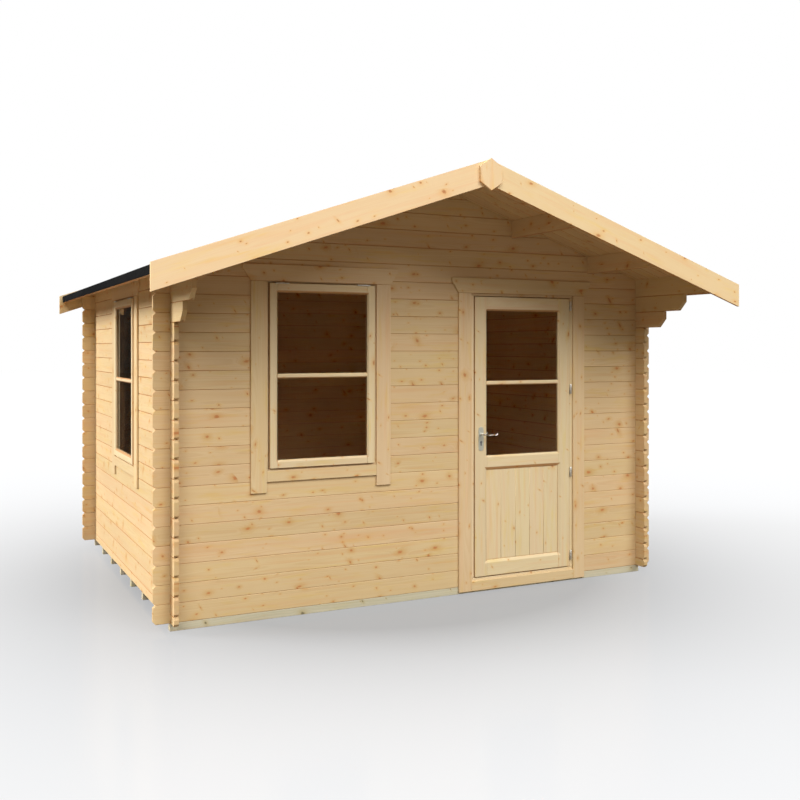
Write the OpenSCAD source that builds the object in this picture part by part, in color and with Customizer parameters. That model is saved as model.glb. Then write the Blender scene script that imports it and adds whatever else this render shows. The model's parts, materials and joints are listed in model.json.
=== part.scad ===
// Log cabin with a front canopy roof: interlocking wall logs on bearers, one half-glazed
// door, two top-hung windows and a low felted roof. Millimetres, +Z up, the front looks
// along -Y. The origin is the bottom centre of the whole cabin.

/* [Walls] */
// Width of the cabin over the outer faces of its side walls
wall_w = 3490; // [3300:10:4200]
// Depth of the cabin over the outer faces of its front and back walls
wall_d = 2800; // [2500:10:3600]
// Thickness of a wall log
log_t = 28; // [26:1:34]
// Height of one course of logs
log_h = 114; // [112:1:120]
// Length of each log beyond the corner it crosses
log_end = 100; // [80:5:140]
// Bevel along each edge of a log
log_bevel = 2.5; // [1:0.5:4]
// Cut at 45 degrees on the corners of a log's end
end_cut = 17; // [6:1:22]
// Width of the tongue on a log
tongue_w = 10; // [8:0.5:12]
// Height of the tongue on a log
tongue_h = 8; // [6:0.5:10]
// Whole courses in the front and back walls below the gables
courses = 18; // [18:1:19]

/* [Base] */
// Height of a bearer under the walls
bearer_h = 48; // [38:1:70]
// Width of a bearer
bearer_w = 45; // [38:1:70]
// Number of bearers from front to back
bearer_count = 8; // [5:1:10]
// Thickness of the floor boards
floor_t = 19; // [16:1:28]
// Width of one floor board
floor_board_w = 114; // [90:1:140]

/* [Roof] */
// Slope of the roof in degrees
pitch = 19; // [15:0.5:24]
// Height of the wall plate log at its outer face
plate_h = 120; // [114:1:140]
// Reach of the roof boards beyond the side walls
eaves_out = 240; // [180:5:320]
// Reach of the roof boards beyond the front wall
canopy_out = 713; // [620:5:900]
// Reach of the roof boards beyond the back wall
rear_out = 120; // [110:5:200]
// Thickness of the roof boards
roof_t = 19; // [16:1:28]
// Thickness of the roofing felt
felt_t = 3; // [2:0.5:5]
// Depth of the batten under the edge of the roof
batten_h = 30; // [20:1:45]
// Width of the batten under the edge of the roof
batten_w = 30; // [20:1:45]
// Thickness of a purlin
purlin_t = 40; // [35:1:60]
// Height of a purlin on the side that faces the ridge
purlin_h = 120; // [100:1:140]
// Distance from the ridge to the upper purlins
purlin_upper = 623; // [500:5:750]
// Distance from the ridge to the lower purlins
purlin_lower = 1274; // [1100:5:1350]
// Width of a bargeboard
barge_w = 144; // [120:1:180]
// Thickness of a bargeboard
barge_t = 20; // [16:1:28]
// Height of a bargeboard's top edge over the felt
barge_rise = 8; // [4:1:20]
// Reach of a bargeboard beyond the edge of the felt
barge_out = 23; // [10:1:60]
// Width of the plate over the joint of the front bargeboards
apex_w = 150; // [110:1:180]
// Height of the upright sides of that plate
apex_side = 96; // [70:1:130]
// Height of each point of that plate
apex_point = 50; // [30:1:60]
// Thickness of that plate
apex_t = 18; // [12:1:24]
// Height of the plate's upper point over the ridge of the bargeboards
apex_rise = 5; // [0:1:20]

/* [Corbels] */
// Number of side logs that step forward under the wall plate
corbel_count = 2; // [1:1:3]
// Step of each corbel beyond the one below it
corbel_step = 205; // [120:5:215]
// Cut at 45 degrees under the end of a corbel
corbel_cut = 60; // [30:1:80]

/* [Door] */
// Centre of the door from the left wall
door_x = 2463; // [2300:1:2600]
// Width of the door's leaf
leaf_w = 784; // [700:1:850]
// Thickness of the door's leaf
leaf_t = 40; // [36:1:48]
// Distance of the leaf's face in front of the wall's face
leaf_proud = 8; // [0:1:12]
// Width of the leaf's upright stiles
stile_w = 96; // [80:1:110]
// Height of the leaf's top rail
top_rail_h = 95; // [80:1:120]
// Height of the leaf's middle rail
mid_rail_h = 98; // [80:1:120]
// Height of the leaf's bottom rail
bottom_rail_h = 107; // [80:1:140]
// Height of the boarded panel in the leaf
panel_h = 618; // [500:1:760]
// Thickness of the boarded panel
panel_t = 16; // [12:1:22]
// Number of boards in the panel
panel_boards = 5; // [4:1:7]
// Height of the door's glazing bar and of a window's
bar_h = 30; // [22:1:40]
// Thickness of the glazing bars
bar_t = 28; // [20:1:32]
// Bevel on the edges of a glazing bar
bar_bevel = 7; // [3:1:9]
// Width of the bevel round the glass of the door and the windows
glass_bevel = 12; // [6:1:16]
// Width of the bevel round the door's panel
panel_bevel = 20; // [8:1:24]
// Depth of the bevels round the glass and the panel
bevel_d = 10; // [6:1:12]
// Gap round the door's leaf
leaf_gap = 6; // [5:0.5:10]
// Gap between the leaf and the threshold
leaf_foot_gap = 6; // [5:1:20]
// Gap between the back of the leaf and its stop
stop_gap = 5; // [5:0.5:8]
// Height of the threshold
threshold_h = 50; // [30:1:60]
// Thickness of a door jamb and of the frame's head
jamb_t = 40; // [30:1:50]
// Depth of the door and window frames
frame_d = 58; // [54:1:80]
// Reach of the stop into the opening
stop_w = 18; // [10:1:24]
// Room left over the door frame for the logs to settle
settle_gap = 38; // [30:1:60]

/* [Trim boards] */
// Width of the boards round the windows
trim_w = 102; // [90:1:120]
// Width of the boards beside the door
door_trim_w = 98; // [80:1:120]
// Thickness of the boards round the door and the windows
trim_t = 13; // [10:1:20]
// Distance from the door's leaf to the boards beside it
door_reveal = 30; // [20:1:38]
// Distance from the door's leaf to the board over it
head_reveal = 23; // [14:1:28]
// Height of a head trim board
head_h = 103; // [80:1:130]
// Reach of a head trim board beyond the side boards
head_out = 52; // [20:1:80]
// Height of the upright part of a head trim board's end
head_lip = 25; // [10:1:40]
// Height of the trim board below a window
win_apron_h = 69; // [50:1:90]
// Strip of window sill left showing over that board
win_apron_drop = 8; // [2:1:14]
// Length of a window's side boards below its bottom board
win_tail = 66; // [30:1:120]
// Height of the trim board in front of the threshold
door_kick_h = 69; // [50:1:80]
// Bevel on the top edge of that board
kick_bevel = 5; // [2:1:8]
// Clearance of the door's trim boards over the ground
kick_clear = 12; // [4:1:20]

/* [Windows] */
// Centre of the front window from the left wall
win_x = 960; // [850:1:1100]
// Width of a window's sash
sash_w = 706; // [600:1:800]
// Thickness of a window's sash
sash_t = 40; // [34:1:46]
// Distance of a sash's face in front of the wall's face
sash_proud = 20; // [14:1:30]
// Width of a sash's stiles
sash_stile = 50; // [45:1:80]
// Height of a sash's top rail
sash_top = 57; // [45:1:80]
// Height of a sash's bottom rail
sash_foot = 50; // [45:1:80]
// Gap round a sash
sash_gap = 5; // [2:0.5:6]
// Width of a window's jambs
win_jamb = 46; // [30:1:55]
// Width of the jambs left in sight beside a sash
win_reveal = 12; // [4:1:20]
// Height of the frame's head left in sight over a sash
win_head_reveal = 6; // [2:1:12]
// Height of a window frame's sill
win_sill = 74; // [50:1:90]
// Height of a window frame's head
win_head = 26; // [20:1:30]
// Courses of logs that a window's opening takes
win_courses = 11; // [9:1:11]
// Room left over a window's frame for the logs to settle
win_settle = 3; // [2:1:8]
// Thickness of the glass
glass_t = 4; // [3:0.5:8]

/* [Ironmongery] */
// Radius of a door hinge's knuckle
knuckle_r = 7; // [6:0.5:9]
// Radius of a door hinge's pin
pin_r = 4; // [3:0.25:5]
// Height of one half of a door hinge
knuckle_h = 35; // [25:1:50]
// Depth of a door hinge's plates
hinge_leaf_d = 40; // [30:1:46]
// Number of door hinges
hinge_count = 4; // [2:1:5]
// Distance from the leaf's ends to the middle of its end hinges at the foot
hinge_foot = 80; // [60:1:200]
// Distance from the leaf's top to the middle of its top hinge
hinge_head = 50; // [45:1:200]
// Height of the lever over the foot of the leaf
lever_z = 972; // [900:1:1050]
// Distance of the lever's spindle from the edge of the leaf
lever_in = 46; // [38:1:60]
// Length of the lever
lever_l = 110; // [100:1:140]
// Radius of the lever's neck
neck_r = 8; // [6:0.5:10]
// Distance of the lever's grip from the leaf
lever_out = 46; // [36:1:60]
// Thickness of the lever's grip
grip_t = 10; // [8:0.5:14]
// Width of a lock plate
lock_w = 40; // [34:1:50]
// Height of a lock plate
lock_h = 164; // [140:1:220]
// Distance from the top of a lock plate to the spindle
lock_top = 51; // [24:1:60]
// Thickness of a lock plate
lock_t = 3; // [2:0.5:5]
// Length of a window hinge
sash_hinge_l = 90; // [60:1:110]
// Radius of a window hinge's knuckle
sash_hinge_r = 4.5; // [3:0.5:6]
// Depth of a window hinge's plates
sash_plate = 26; // [18:1:34]
// Distance of a window hinge from the middle of the sash
sash_hinge_x = 275; // [200:1:300]

/* [Fit] */
// Clearance between pieces that are fixed together
fit = 0.3; // [0.2:0.05:0.6]
// Clearance between one course of logs and the next
course_gap = 0.4; // [0.2:0.1:0.8]
// Clearance of a turning pin in its knuckle
pin_play = 0.08; // [0.04:0.01:0.1]

/* [Hidden] */
$fn = 48;
lap = log_h / 4;                                // depth of each half of a corner lap
scallop = [end_cut, end_cut];                   // end of a log: cut below, cut above
plain = [0, 0];
corbel_end = [corbel_cut, 0];
side_top = (courses - 0.5) * log_h;             // top of the side walls, foot of the wall plates
eaves_z = side_top + plate_h;                   // underside of the roof over a side wall's face
ridge_z = eaves_z + tan(pitch) * wall_w / 2;
felt_top = roof_t + 2 * fit + felt_t;           // height of the felt's face over the roof's underside
barge_top = felt_top + barge_rise;
barge_end = eaves_out + felt_t + fit + barge_out;
front_y = -canopy_out - barge_t - fit;          // front face of the front bargeboards
rear_y = wall_d + rear_out + fit + barge_t;
front_most = front_y - fit - apex_t;
gable_courses = ceil((ridge_z - courses * log_h) / log_h);

door_open = leaf_w / 2 + leaf_gap + jamb_t + 2; // half of the doorway in the logs
leaf_z = threshold_h + leaf_foot_gap;
leaf_h = courses * log_h - settle_gap - jamb_t - leaf_gap - leaf_z;
leaf_top = leaf_z + leaf_h;
leaf_y = -leaf_proud;
glass_z = leaf_z + bottom_rail_h + panel_h + mid_rail_h;
glass_h = leaf_top - top_rail_h - glass_z;
trim_in = leaf_w / 2 + door_reveal;             // half of the door between its trim boards
head_z = leaf_top + head_reveal - fit;          // foot of the door's head trim
hinge_x = leaf_w / 2 + leaf_gap;
hinge_y = leaf_y - knuckle_r - 0.5;
hinge_pitch = (leaf_h - hinge_foot - hinge_head) / (hinge_count - 1);
hinge_plate = 2;
lever_x = -leaf_w / 2 + lever_in;

win_first = courses - win_courses;              // first course beside a window
win_open = sash_w / 2 + sash_gap + win_jamb + 2;
win_h = win_courses * log_h;                    // height of a window's opening
sash_z = win_sill + sash_gap;                   // foot of the sash over the opening's foot
sash_h = win_h - win_settle - win_head - sash_gap - sash_z;
sash_trim = sash_w / 2 + sash_gap + win_reveal; // half of a window between its trim boards
win_z = win_first * log_h;
side_win_z = win_z - log_h / 2;
side_win_y = wall_d / 2;

// Underside of the roof boards over x, measured from the left wall's outer face.
function roof_z(x) = eaves_z + tan(pitch) * min(x, wall_w - x);

// Moves cabin coordinates (front left corner of the walls, top of the bearers) to the origin.
module place() {
    translate([-wall_w / 2, -(front_most + rear_y) / 2, bearer_h]) children();
}

module block(low, high) {
    translate(low) cube(high - low);
}

// An XZ outline drawn out along Y from y0 to y1.
module along_y(y0, y1) {
    translate([0, y1, 0]) rotate([90, 0, 0]) linear_extrude(y1 - y0) children();
}

// A YZ outline drawn out along X from x0 to x1.
module along_x(x0, x1) {
    translate([x0, 0, 0]) rotate([90, 0, 90]) linear_extrude(x1 - x0) children();
}

module both_sides() {
    children();
    translate([wall_w, 0, 0]) mirror([1, 0, 0]) children();
}

module both_hands() {
    children();
    mirror([1, 0, 0]) children();
}

// ---- wall logs ----

// End view of a log: bevelled edges, a groove below and a tongue above.
module log_profile(h, grooved, tongued) {
    low = course_gap / 2;
    high = h - course_gap / 2;
    groove_a = (log_t - tongue_w) / 2 - fit;
    groove_b = (log_t + tongue_w) / 2 + fit;
    tongue_a = (log_t - tongue_w) / 2;
    tongue_b = (log_t + tongue_w) / 2;
    groove_top = low + tongue_h + fit;
    polygon(concat(
        [[0, low + log_bevel], [log_bevel, low]],
        grooved ? [[groove_a, low], [groove_a, groove_top], [groove_b, groove_top],
            [groove_b, low]] : [],
        [[log_t - log_bevel, low], [log_t, low + log_bevel],
            [log_t, high - log_bevel], [log_t - log_bevel, high]],
        tongued ? [[tongue_b, high], [tongue_b, high + tongue_h - course_gap],
            [tongue_a, high + tongue_h - course_gap], [tongue_a, high]] : [],
        [[log_bevel, high], [0, high - log_bevel]]));
}

// Side view of a log from s0 to s1, with its end cuts and a lap at each crossing.
module log_elevation(s0, s1, h, end0, end1, crossings, lap_below) {
    up = h + tongue_h;
    difference() {
        polygon(concat(
            end0[0] == 0 ? [[s0, 0]] : [[s0, end0[0]], [s0 + end0[0], 0]],
            end1[0] == 0 ? [[s1, 0]] : [[s1 - end1[0], 0], [s1, end1[0]]],
            end1[1] == 0 ? [[s1, up]] : [[s1, h - end1[1]], [s1 - end1[1] - tongue_h, up]],
            end0[1] == 0 ? [[s0, up]] : [[s0 + end0[1] + tongue_h, up], [s0, h - end0[1]]]));
        for (s = crossings) {
            translate([s - fit, h - lap - course_gap / 2])
                square([log_t + 2 * fit, lap + tongue_h + course_gap]);
            if (lap_below) translate([s - fit, -1])
                square([log_t + 2 * fit, lap + course_gap / 2 + 1]);
        }
    }
}

// One log along X, its outer face at y = 0.
module wall_log(s0, s1, h, end0, end1, span, lap_below = true, grooved = true, tongued = true) {
    crossings = [for (s = [0, span - log_t]) if (s > s0 && s < s1) s];
    intersection() {
        along_x(s0, s1) log_profile(h, grooved, tongued);
        along_y(-1, log_t + 1) log_elevation(s0, s1, h, end0, end1, crossings, lap_below);
    }
}

// Courses first to last of the front wall between x0 and x1.
module front_logs(first, last, x0, x1, end0, end1) {
    for (i = [first:last]) translate([0, 0, i * log_h])
        wall_log(x0, x1, log_h, end0, end1, wall_w, true, i > 0, true);
}

// Turns a log drawn along X into one of the left wall, along Y.
module as_side() {
    translate([log_t, 0, 0]) rotate([0, 0, 90]) children();
}

// Reach of side course j in front of the front wall: the top ones step out as corbels.
function side_reach(j) = log_end + corbel_step * max(0, j - (courses - 2 - corbel_count));

// Courses first to last of a side wall between y0 and y1; y0 < 0 means the stepped front end.
module side_logs(first, last, y0, y1, end0, end1) {
    for (j = [first:last]) translate([0, 0, (j + 0.5) * log_h]) as_side()
        wall_log(y0 < 0 ? -side_reach(j) : y0, y1, log_h,
            y0 < 0 && side_reach(j) > log_end ? corbel_end : end0, end1, wall_d);
}

module side_half_log() {
    as_side() wall_log(-log_end, wall_d + log_end, log_h / 2, scallop, scallop, wall_d,
        false, false, true);
}

// The space below the roof boards.
module under_roof() {
    along_y(-1, wall_d + 1) polygon([[-log_end, 0], [wall_w + log_end, 0],
        [wall_w + log_end, roof_z(-log_end) - fit], [wall_w / 2, ridge_z - fit],
        [-log_end, roof_z(-log_end) - fit]]);
}

// Logs of a gable, cut to the slope and notched round the purlins.
module gable_logs() {
    difference() {
        intersection() {
            for (i = [0:gable_courses - 1]) {
                z = (courses + i) * log_h;
                x0 = max(log_t + fit, (z - eaves_z) / tan(pitch));
                translate([0, 0, z])
                    wall_log(x0, wall_w - x0, log_h, plain, plain, 0, true, true,
                        i < gable_courses - 1);
            }
            under_roof();
        }
        purlin_shapes(-10, log_t + 10, fit);
    }
}

module bearers() {
    color("#c9c6a4") for (i = [0:bearer_count - 1])
        translate([0, i * (wall_d - bearer_w) / (bearer_count - 1), -bearer_h])
            cube([wall_w, bearer_w, bearer_h - fit]);
}

module floor_boards() {
    x0 = log_t + 2;
    w = wall_w - 2 * x0;
    count = round(w / floor_board_w);
    color("#e3c48f") translate([x0, 0, 0]) along_y(log_t + 2, wall_d - log_t - 2)
        difference() {
            square([w, floor_t]);
            for (i = [1:count - 1]) translate([i * w / count, floor_t])
                rotate(45) square(3, center = true);
            square([w, fit]);
        }
}

module front_wall_lower() {
    color("#e8c893") difference() {
        front_logs(0, win_first - 1, -log_end, door_x - door_open, scallop, plain);
        block([win_x - win_open, -1, win_z], [win_x + win_open, log_t + 1, win_z + log_h]);
    }
}

module front_wall_left() {
    color("#e8c893")
        front_logs(win_first, courses - 1, -log_end, win_x - win_open, scallop, plain);
}

module front_wall_middle() {
    color("#e8c893") front_logs(win_first, courses - 1, win_x + win_open,
        door_x - door_open, plain, plain);
}

module front_wall_right() {
    color("#e8c893") front_logs(0, courses - 1, door_x + door_open, wall_w + log_end,
        plain, scallop);
}

module front_gable() {
    color("#e8c893") gable_logs();
}

module back_wall() {
    color("#e8c893") translate([0, wall_d - log_t, 0])
        front_logs(0, courses - 1, -log_end, wall_w + log_end, scallop, scallop);
}

module back_gable() {
    color("#e8c893") translate([0, wall_d - log_t, 0]) gable_logs();
}

module left_wall_lower() {
    color("#e8c893") difference() {
        union() {
            side_half_log();
            side_logs(0, win_first - 2, -log_end, wall_d + log_end, scallop, scallop);
        }
        block([-1, side_win_y - win_open, side_win_z],
            [log_t + 1, side_win_y + win_open, side_win_z + log_h]);
    }
}

module left_wall_front() {
    color("#e8c893") side_logs(win_first - 1, courses - 2, -log_end,
        side_win_y - win_open, scallop, plain);
}

module left_wall_back() {
    color("#e8c893") side_logs(win_first - 1, courses - 2, side_win_y + win_open,
        wall_d + log_end, plain, scallop);
}

module right_wall() {
    color("#e8c893") translate([wall_w - log_t, 0, 0]) {
        side_half_log();
        side_logs(0, courses - 2, -log_end, wall_d + log_end, scallop, scallop);
    }
}

// ---- roof ----

// The long top log of each side wall, bevelled to the roof's slope.
module wall_plates() {
    tall = plate_h + log_t;
    color("#e8c893") both_sides() intersection() {
        translate([0, 0, side_top]) as_side()
            wall_log(-canopy_out, wall_d + rear_out, tall, plain, plain, wall_d, true, true,
                false);
        along_y(-canopy_out - 1, wall_d + rear_out + 1) polygon([[-1, 0], [log_t + 1, 0],
            [log_t + 1, roof_z(log_t + 1) - fit], [-1, roof_z(-1) - fit]]);
        difference() {
            block([-1, -canopy_out, side_top], [log_t + 1, wall_d + rear_out, ridge_z]);
            for (y = [0, wall_d - log_t])
                block([-2, y - fit, side_top - 1],
                    [log_t + 2, y + log_t + fit, side_top + lap + course_gap / 2]);
        }
    }
}

// The four purlins between y0 and y1, grown all round by a clearance.
module purlin_shapes(y0, y1, grow) {
    both_sides() for (d = [purlin_upper, purlin_lower]) {
        near = wall_w / 2 - d + grow;
        far = wall_w / 2 - d - purlin_t - grow;
        foot = roof_z(wall_w / 2 - d) - purlin_h - grow;
        along_y(y0, y1) polygon([[far, foot], [near, foot],
            [near, roof_z(near) - fit + 3 * grow], [far, roof_z(far) - fit + 3 * grow]]);
    }
}

module purlins() {
    color("#e2bf88") purlin_shapes(-canopy_out, wall_d + rear_out, 0);
}

// A strip of the left slope from x0 to the ridge, between two heights square to the slope.
module slope_strip(x0, low, high) {
    x1 = wall_w / 2 - fit / 2;
    polygon([[x0, roof_z(x0) + low / cos(pitch)], [x1, roof_z(x1) + low / cos(pitch)],
        [x1, roof_z(x1) + high / cos(pitch)], [x0, roof_z(x0) + high / cos(pitch)]]);
}

module on_right() {
    translate([wall_w, 0, 0]) mirror([1, 0, 0]) children();
}

module roof_half() {
    color("#dfbd86") along_y(-canopy_out, wall_d + rear_out) slope_strip(-eaves_out, 0, roof_t);
}

module roof_boards_left() {
    roof_half();
}

module roof_boards_right() {
    on_right() roof_half();
}

// Felt over the boards, turned down over their edge and the batten.
module felt_half() {
    edge = -eaves_out - fit;
    foot = roof_z(-eaves_out) - batten_h - fit;
    color("#23262b") along_y(-canopy_out, wall_d + rear_out) {
        slope_strip(edge - felt_t, roof_t + fit, felt_top);
        polygon([[edge - felt_t, foot], [edge, foot],
            [edge, roof_z(edge) + (felt_top - 0.1) / cos(pitch)],
            [edge - felt_t, roof_z(edge - felt_t) + felt_top / cos(pitch)]]);
    }
}

module felt_left() {
    felt_half();
}

module felt_right() {
    on_right() felt_half();
}

module eaves_battens() {
    x0 = -eaves_out;
    x1 = x0 + batten_w;
    foot = roof_z(x0) - batten_h;
    color("#dfbd86") both_sides() along_y(-canopy_out, wall_d + rear_out)
        polygon([[x0, foot], [x1, foot], [x1, roof_z(x1) - fit], [x0, roof_z(x0) - fit]]);
}

module bargeboards(y0) {
    color("#f0d6a6") both_sides() along_y(y0, y0 + barge_t)
        slope_strip(-barge_end, barge_top - barge_w, barge_top);
}

module front_bargeboards() {
    bargeboards(front_y);
}

module rear_bargeboards() {
    bargeboards(rear_y - barge_t);
}

// Six-sided plate over the joint of the front bargeboards.
module apex_plate() {
    w = apex_w / 2;
    h = apex_side / 2;
    tip = h + apex_point;
    z = ridge_z + barge_top / cos(pitch) + apex_rise - tip;
    color("#ecd0a0") translate([wall_w / 2, 0, z]) along_y(front_most, front_most + apex_t)
        polygon([[0, tip], [-w, h], [-w, -h], [0, -tip], [w, -h], [w, h]]);
}

// ---- boards round an opening, in coordinates about its middle ----

// Head trim board: the ends lean outwards up to a short upright lip.
module head_trim(half, z) {
    top = half + head_out;
    along_y(-trim_t, -fit) polygon([[-half, z], [half, z], [top, z + head_h - head_lip],
        [top, z + head_h], [-top, z + head_h], [-top, z + head_h - head_lip]]);
}

// Tool that bevels the timber round an opening w wide, from z0 to z1, on the face at y. The
// cut is b wide on that face and closes to nothing at bevel_d behind it; s is the way inwards.
module bevel_tool(w, z0, z1, y, s, b) {
    far = b * (bevel_d + 1) / bevel_d;
    near = -b / bevel_d;
    function corners(y, g) = [[-w / 2 - g, y, z0 - g], [w / 2 + g, y, z0 - g],
        [w / 2 + g, y, z1 + g], [-w / 2 - g, y, z1 + g]];
    polyhedron(concat(corners(y - s, far), corners(y + s * (bevel_d + 1), near)),
        s < 0 ? [[0, 1, 2, 3], [7, 6, 5, 4], [0, 4, 5, 1], [1, 5, 6, 2], [2, 6, 7, 3], [3, 7, 4, 0]]
        : [[3, 2, 1, 0], [4, 5, 6, 7], [1, 5, 4, 0], [2, 6, 5, 1], [3, 7, 6, 2], [0, 4, 7, 3]]);
}

// Bevels round an opening on both faces of a leaf or sash.
module bevels(w, z0, z1, y0, y1, b) {
    bevel_tool(w, z0, z1, y0, 1, b);
    bevel_tool(w, z0, z1, y1, -1, b);
}

// A glazing bar along X with bevelled edges, its foot at z.
module glazing_bar(half, y, z) {
    a = bar_t / 2;
    c = bar_bevel;
    along_x(-half, half) translate([y, z]) polygon([[-a, c], [c - a, 0], [a - c, 0], [a, c],
        [a, bar_h - c], [a - c, bar_h], [c - a, bar_h], [-a, bar_h - c]]);
}

// ---- door ----

module at_door() {
    translate([door_x, 0, 0]) children();
}

// A rebated frame member: an L with its stop behind the leaf or sash.
module rebate(inner, outer, stop, stop_y) {
    polygon([[inner, 0], [outer, 0], [outer, frame_d], [inner - stop, frame_d],
        [inner - stop, stop_y], [inner, stop_y]]);
}

module door_frame() {
    inner = leaf_w / 2 + leaf_gap;
    stop_y = leaf_y + leaf_t + stop_gap;
    head = leaf_top + leaf_gap;
    color("#ecd0a0") at_door() {
        both_hands() translate([0, 0, threshold_h + fit])
            linear_extrude(head - threshold_h - 2 * fit)
                rebate(inner, inner + jamb_t, stop_w, stop_y);
        along_x(-inner - jamb_t, inner + jamb_t) polygon([[0, head], [frame_d, head],
            [frame_d, head + jamb_t], [0, head + jamb_t]]);
        block([-inner + stop_w + fit, stop_y, head - stop_w],
            [inner - stop_w - fit, frame_d, head - fit]);
    }
}

module door_threshold() {
    outer = leaf_w / 2 + leaf_gap + jamb_t;
    floor_y = log_t + 2 - fit;
    color("#e9cb98") at_door() along_x(-outer, outer) polygon([[0, fit], [floor_y, fit],
        [floor_y, floor_t + fit], [frame_d, floor_t + fit], [frame_d, threshold_h],
        [8, threshold_h], [0, threshold_h - 5]]);
}

module door_trim() {
    foot = -bearer_h + kick_clear;
    half = trim_in + door_trim_w;
    top = foot + door_kick_h;
    color("#efd5a6") at_door() {
        both_hands() block([trim_in, -trim_t, foot], [half, -fit, head_z - fit]);
        along_x(-trim_in + fit, trim_in - fit) polygon([[-trim_t, foot], [-fit, foot],
            [-fit, top], [kick_bevel - trim_t, top], [-trim_t, top - kick_bevel]]);
        head_trim(half, head_z);
        // the same boards inside the cabin, beside and over the frame
        inside = leaf_w / 2 + leaf_gap + jamb_t + fit;
        both_hands() block([inside, log_t + fit, floor_t + fit],
            [inside + door_trim_w, log_t + trim_t, head_z - fit]);
        block([-half, log_t + fit, leaf_top + leaf_gap + jamb_t + fit],
            [half, log_t + trim_t, head_z + head_h]);
    }
}

// Bevels round the door's glass and its panel.
module leaf_bevels() {
    w = leaf_w - 2 * stile_w;
    foot = leaf_z + bottom_rail_h;
    bevels(w, glass_z, glass_z + glass_h, leaf_y, leaf_y + leaf_t, glass_bevel);
    bevels(w, foot, foot + panel_h, leaf_y, leaf_y + leaf_t, panel_bevel);
}

module door_stiles() {
    color("#efd3a1") at_door() difference() {
        both_hands() block([leaf_w / 2 - stile_w, leaf_y, leaf_z],
            [leaf_w / 2, leaf_y + leaf_t, leaf_top]);
        leaf_bevels();
        translate([lever_x, leaf_y - 1, leaf_z + lever_z]) rotate([-90, 0, 0])
            cylinder(r = neck_r + 6, h = leaf_t + 2);
    }
}

module door_rails() {
    half = leaf_w / 2 - stile_w - fit;
    color("#efd3a1") at_door() difference() {
        for (rail = [[leaf_z, bottom_rail_h], [glass_z - mid_rail_h, mid_rail_h],
            [leaf_top - top_rail_h, top_rail_h]])
            block([-half, leaf_y, rail[0]], [half, leaf_y + leaf_t, rail[0] + rail[1]]);
        leaf_bevels();
    }
}

module door_glazing_bar() {
    color("#efd3a1") at_door() glazing_bar(leaf_w / 2 - stile_w - fit, leaf_y + leaf_t / 2,
        glass_z + glass_h / 2 - bar_h / 2);
}

// Upright boards with a V between each and the next, front and back.
module door_panel() {
    w = leaf_w - 2 * stile_w - 2 * fit;
    z = leaf_z + bottom_rail_h + fit;
    color("#ecce9a") at_door() translate([-w / 2, leaf_y + (leaf_t - panel_t) / 2, z])
        linear_extrude(panel_h - 2 * fit) difference() {
            square([w, panel_t]);
            for (i = [1:panel_boards - 1], y = [0, panel_t]) translate([i * w / panel_boards, y])
                rotate(45) square(4, center = true);
        }
}

module panes(w, y, z, h) {
    pane_h = (h - bar_h) / 2 - 2 * fit;
    for (z0 = [z + fit, z + h - fit - pane_h])
        block([-w / 2, y, z0], [w / 2, y + glass_t, z0 + pane_h]);
}

module door_glass() {
    color([0.7, 0.8, 0.8, 0.35]) at_door()
        panes(leaf_w - 2 * stile_w - 2 * fit, leaf_y + (leaf_t - glass_t) / 2, glass_z, glass_h);
}

module at_hinges() {
    at_door() for (i = [0:hinge_count - 1])
        translate([hinge_x, hinge_y, leaf_z + hinge_foot + i * hinge_pitch]) children();
}

// The upper half of each hinge, on the leaf: a sleeve closed at its top.
module door_hinge_sleeves() {
    color("#8d9094") at_hinges() difference() {
        union() {
            cylinder(r = knuckle_r, h = knuckle_h);
            block([-leaf_gap, 0, 0], [-leaf_gap + hinge_plate, hinge_leaf_d, knuckle_h]);
        }
        translate([0, 0, -1]) cylinder(r = pin_r + pin_play, h = knuckle_h - 2);
    }
}

// The lower half of each hinge, on the frame, with its pin.
module door_hinge_pins() {
    color("#8d9094") at_hinges() translate([0, 0, -knuckle_h]) {
        cylinder(r = knuckle_r, h = knuckle_h - fit);
        cylinder(r = pin_r, h = 2 * knuckle_h - 5);
        block([-hinge_plate - fit, 0, 0], [-fit, hinge_leaf_d, knuckle_h - fit]);
    }
}

// Plate with round ends on each face of the leaf, open round the lever's neck.
module lock_plate() {
    r = lock_w / 2;
    linear_extrude(lock_t) difference() {
        union() {
            translate([0, lock_top - r]) circle(r);
            translate([0, lock_top - lock_h + r]) circle(r);
            translate([-r, lock_top - lock_h + r]) square([lock_w, lock_h - 2 * r]);
        }
        circle(neck_r + pin_play);
    }
}

module at_lever() {
    at_door() translate([lever_x, 0, leaf_z + lever_z]) children();
}

module door_lock_plates() {
    color("#b9b6ae") at_lever() for (y = [leaf_y - fit, leaf_y + leaf_t + fit + lock_t])
        translate([0, y, 0]) rotate([90, 0, 0]) lock_plate();
}

// Outline of the grip: a slow S that starts at the neck.
module grip() {
    bends = [[0, 0, neck_r + 1], [lever_l * 0.33, -5, 7], [lever_l * 0.74, -3, 6],
        [lever_l - 7, 3, 7]];
    for (i = [0:2]) hull() for (b = [bends[i], bends[i + 1]])
        translate([b[0], b[1]]) circle(b[2], $fn = 32);
}

module door_lever() {
    reach = leaf_t / 2 + lever_out + grip_t;
    color("#c2bfb6") at_lever() translate([0, leaf_y + leaf_t / 2, 0]) {
        rotate([90, 0, 0]) cylinder(r = 4.5, h = 2 * reach - grip_t, center = true);
        for (s = [-1, 1]) {
            translate([0, s > 0 ? leaf_t / 2 : -reach, 0]) rotate([-90, 0, 0])
                cylinder(r = neck_r, h = reach - leaf_t / 2);
            translate([0, s > 0 ? reach : -reach + grip_t, 0]) rotate([90, 0, 0])
                linear_extrude(grip_t) grip();
        }
    }
}

// ---- windows, in coordinates about the foot of the opening ----

module at_front_window() {
    translate([win_x, 0, win_z]) children();
}

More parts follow.
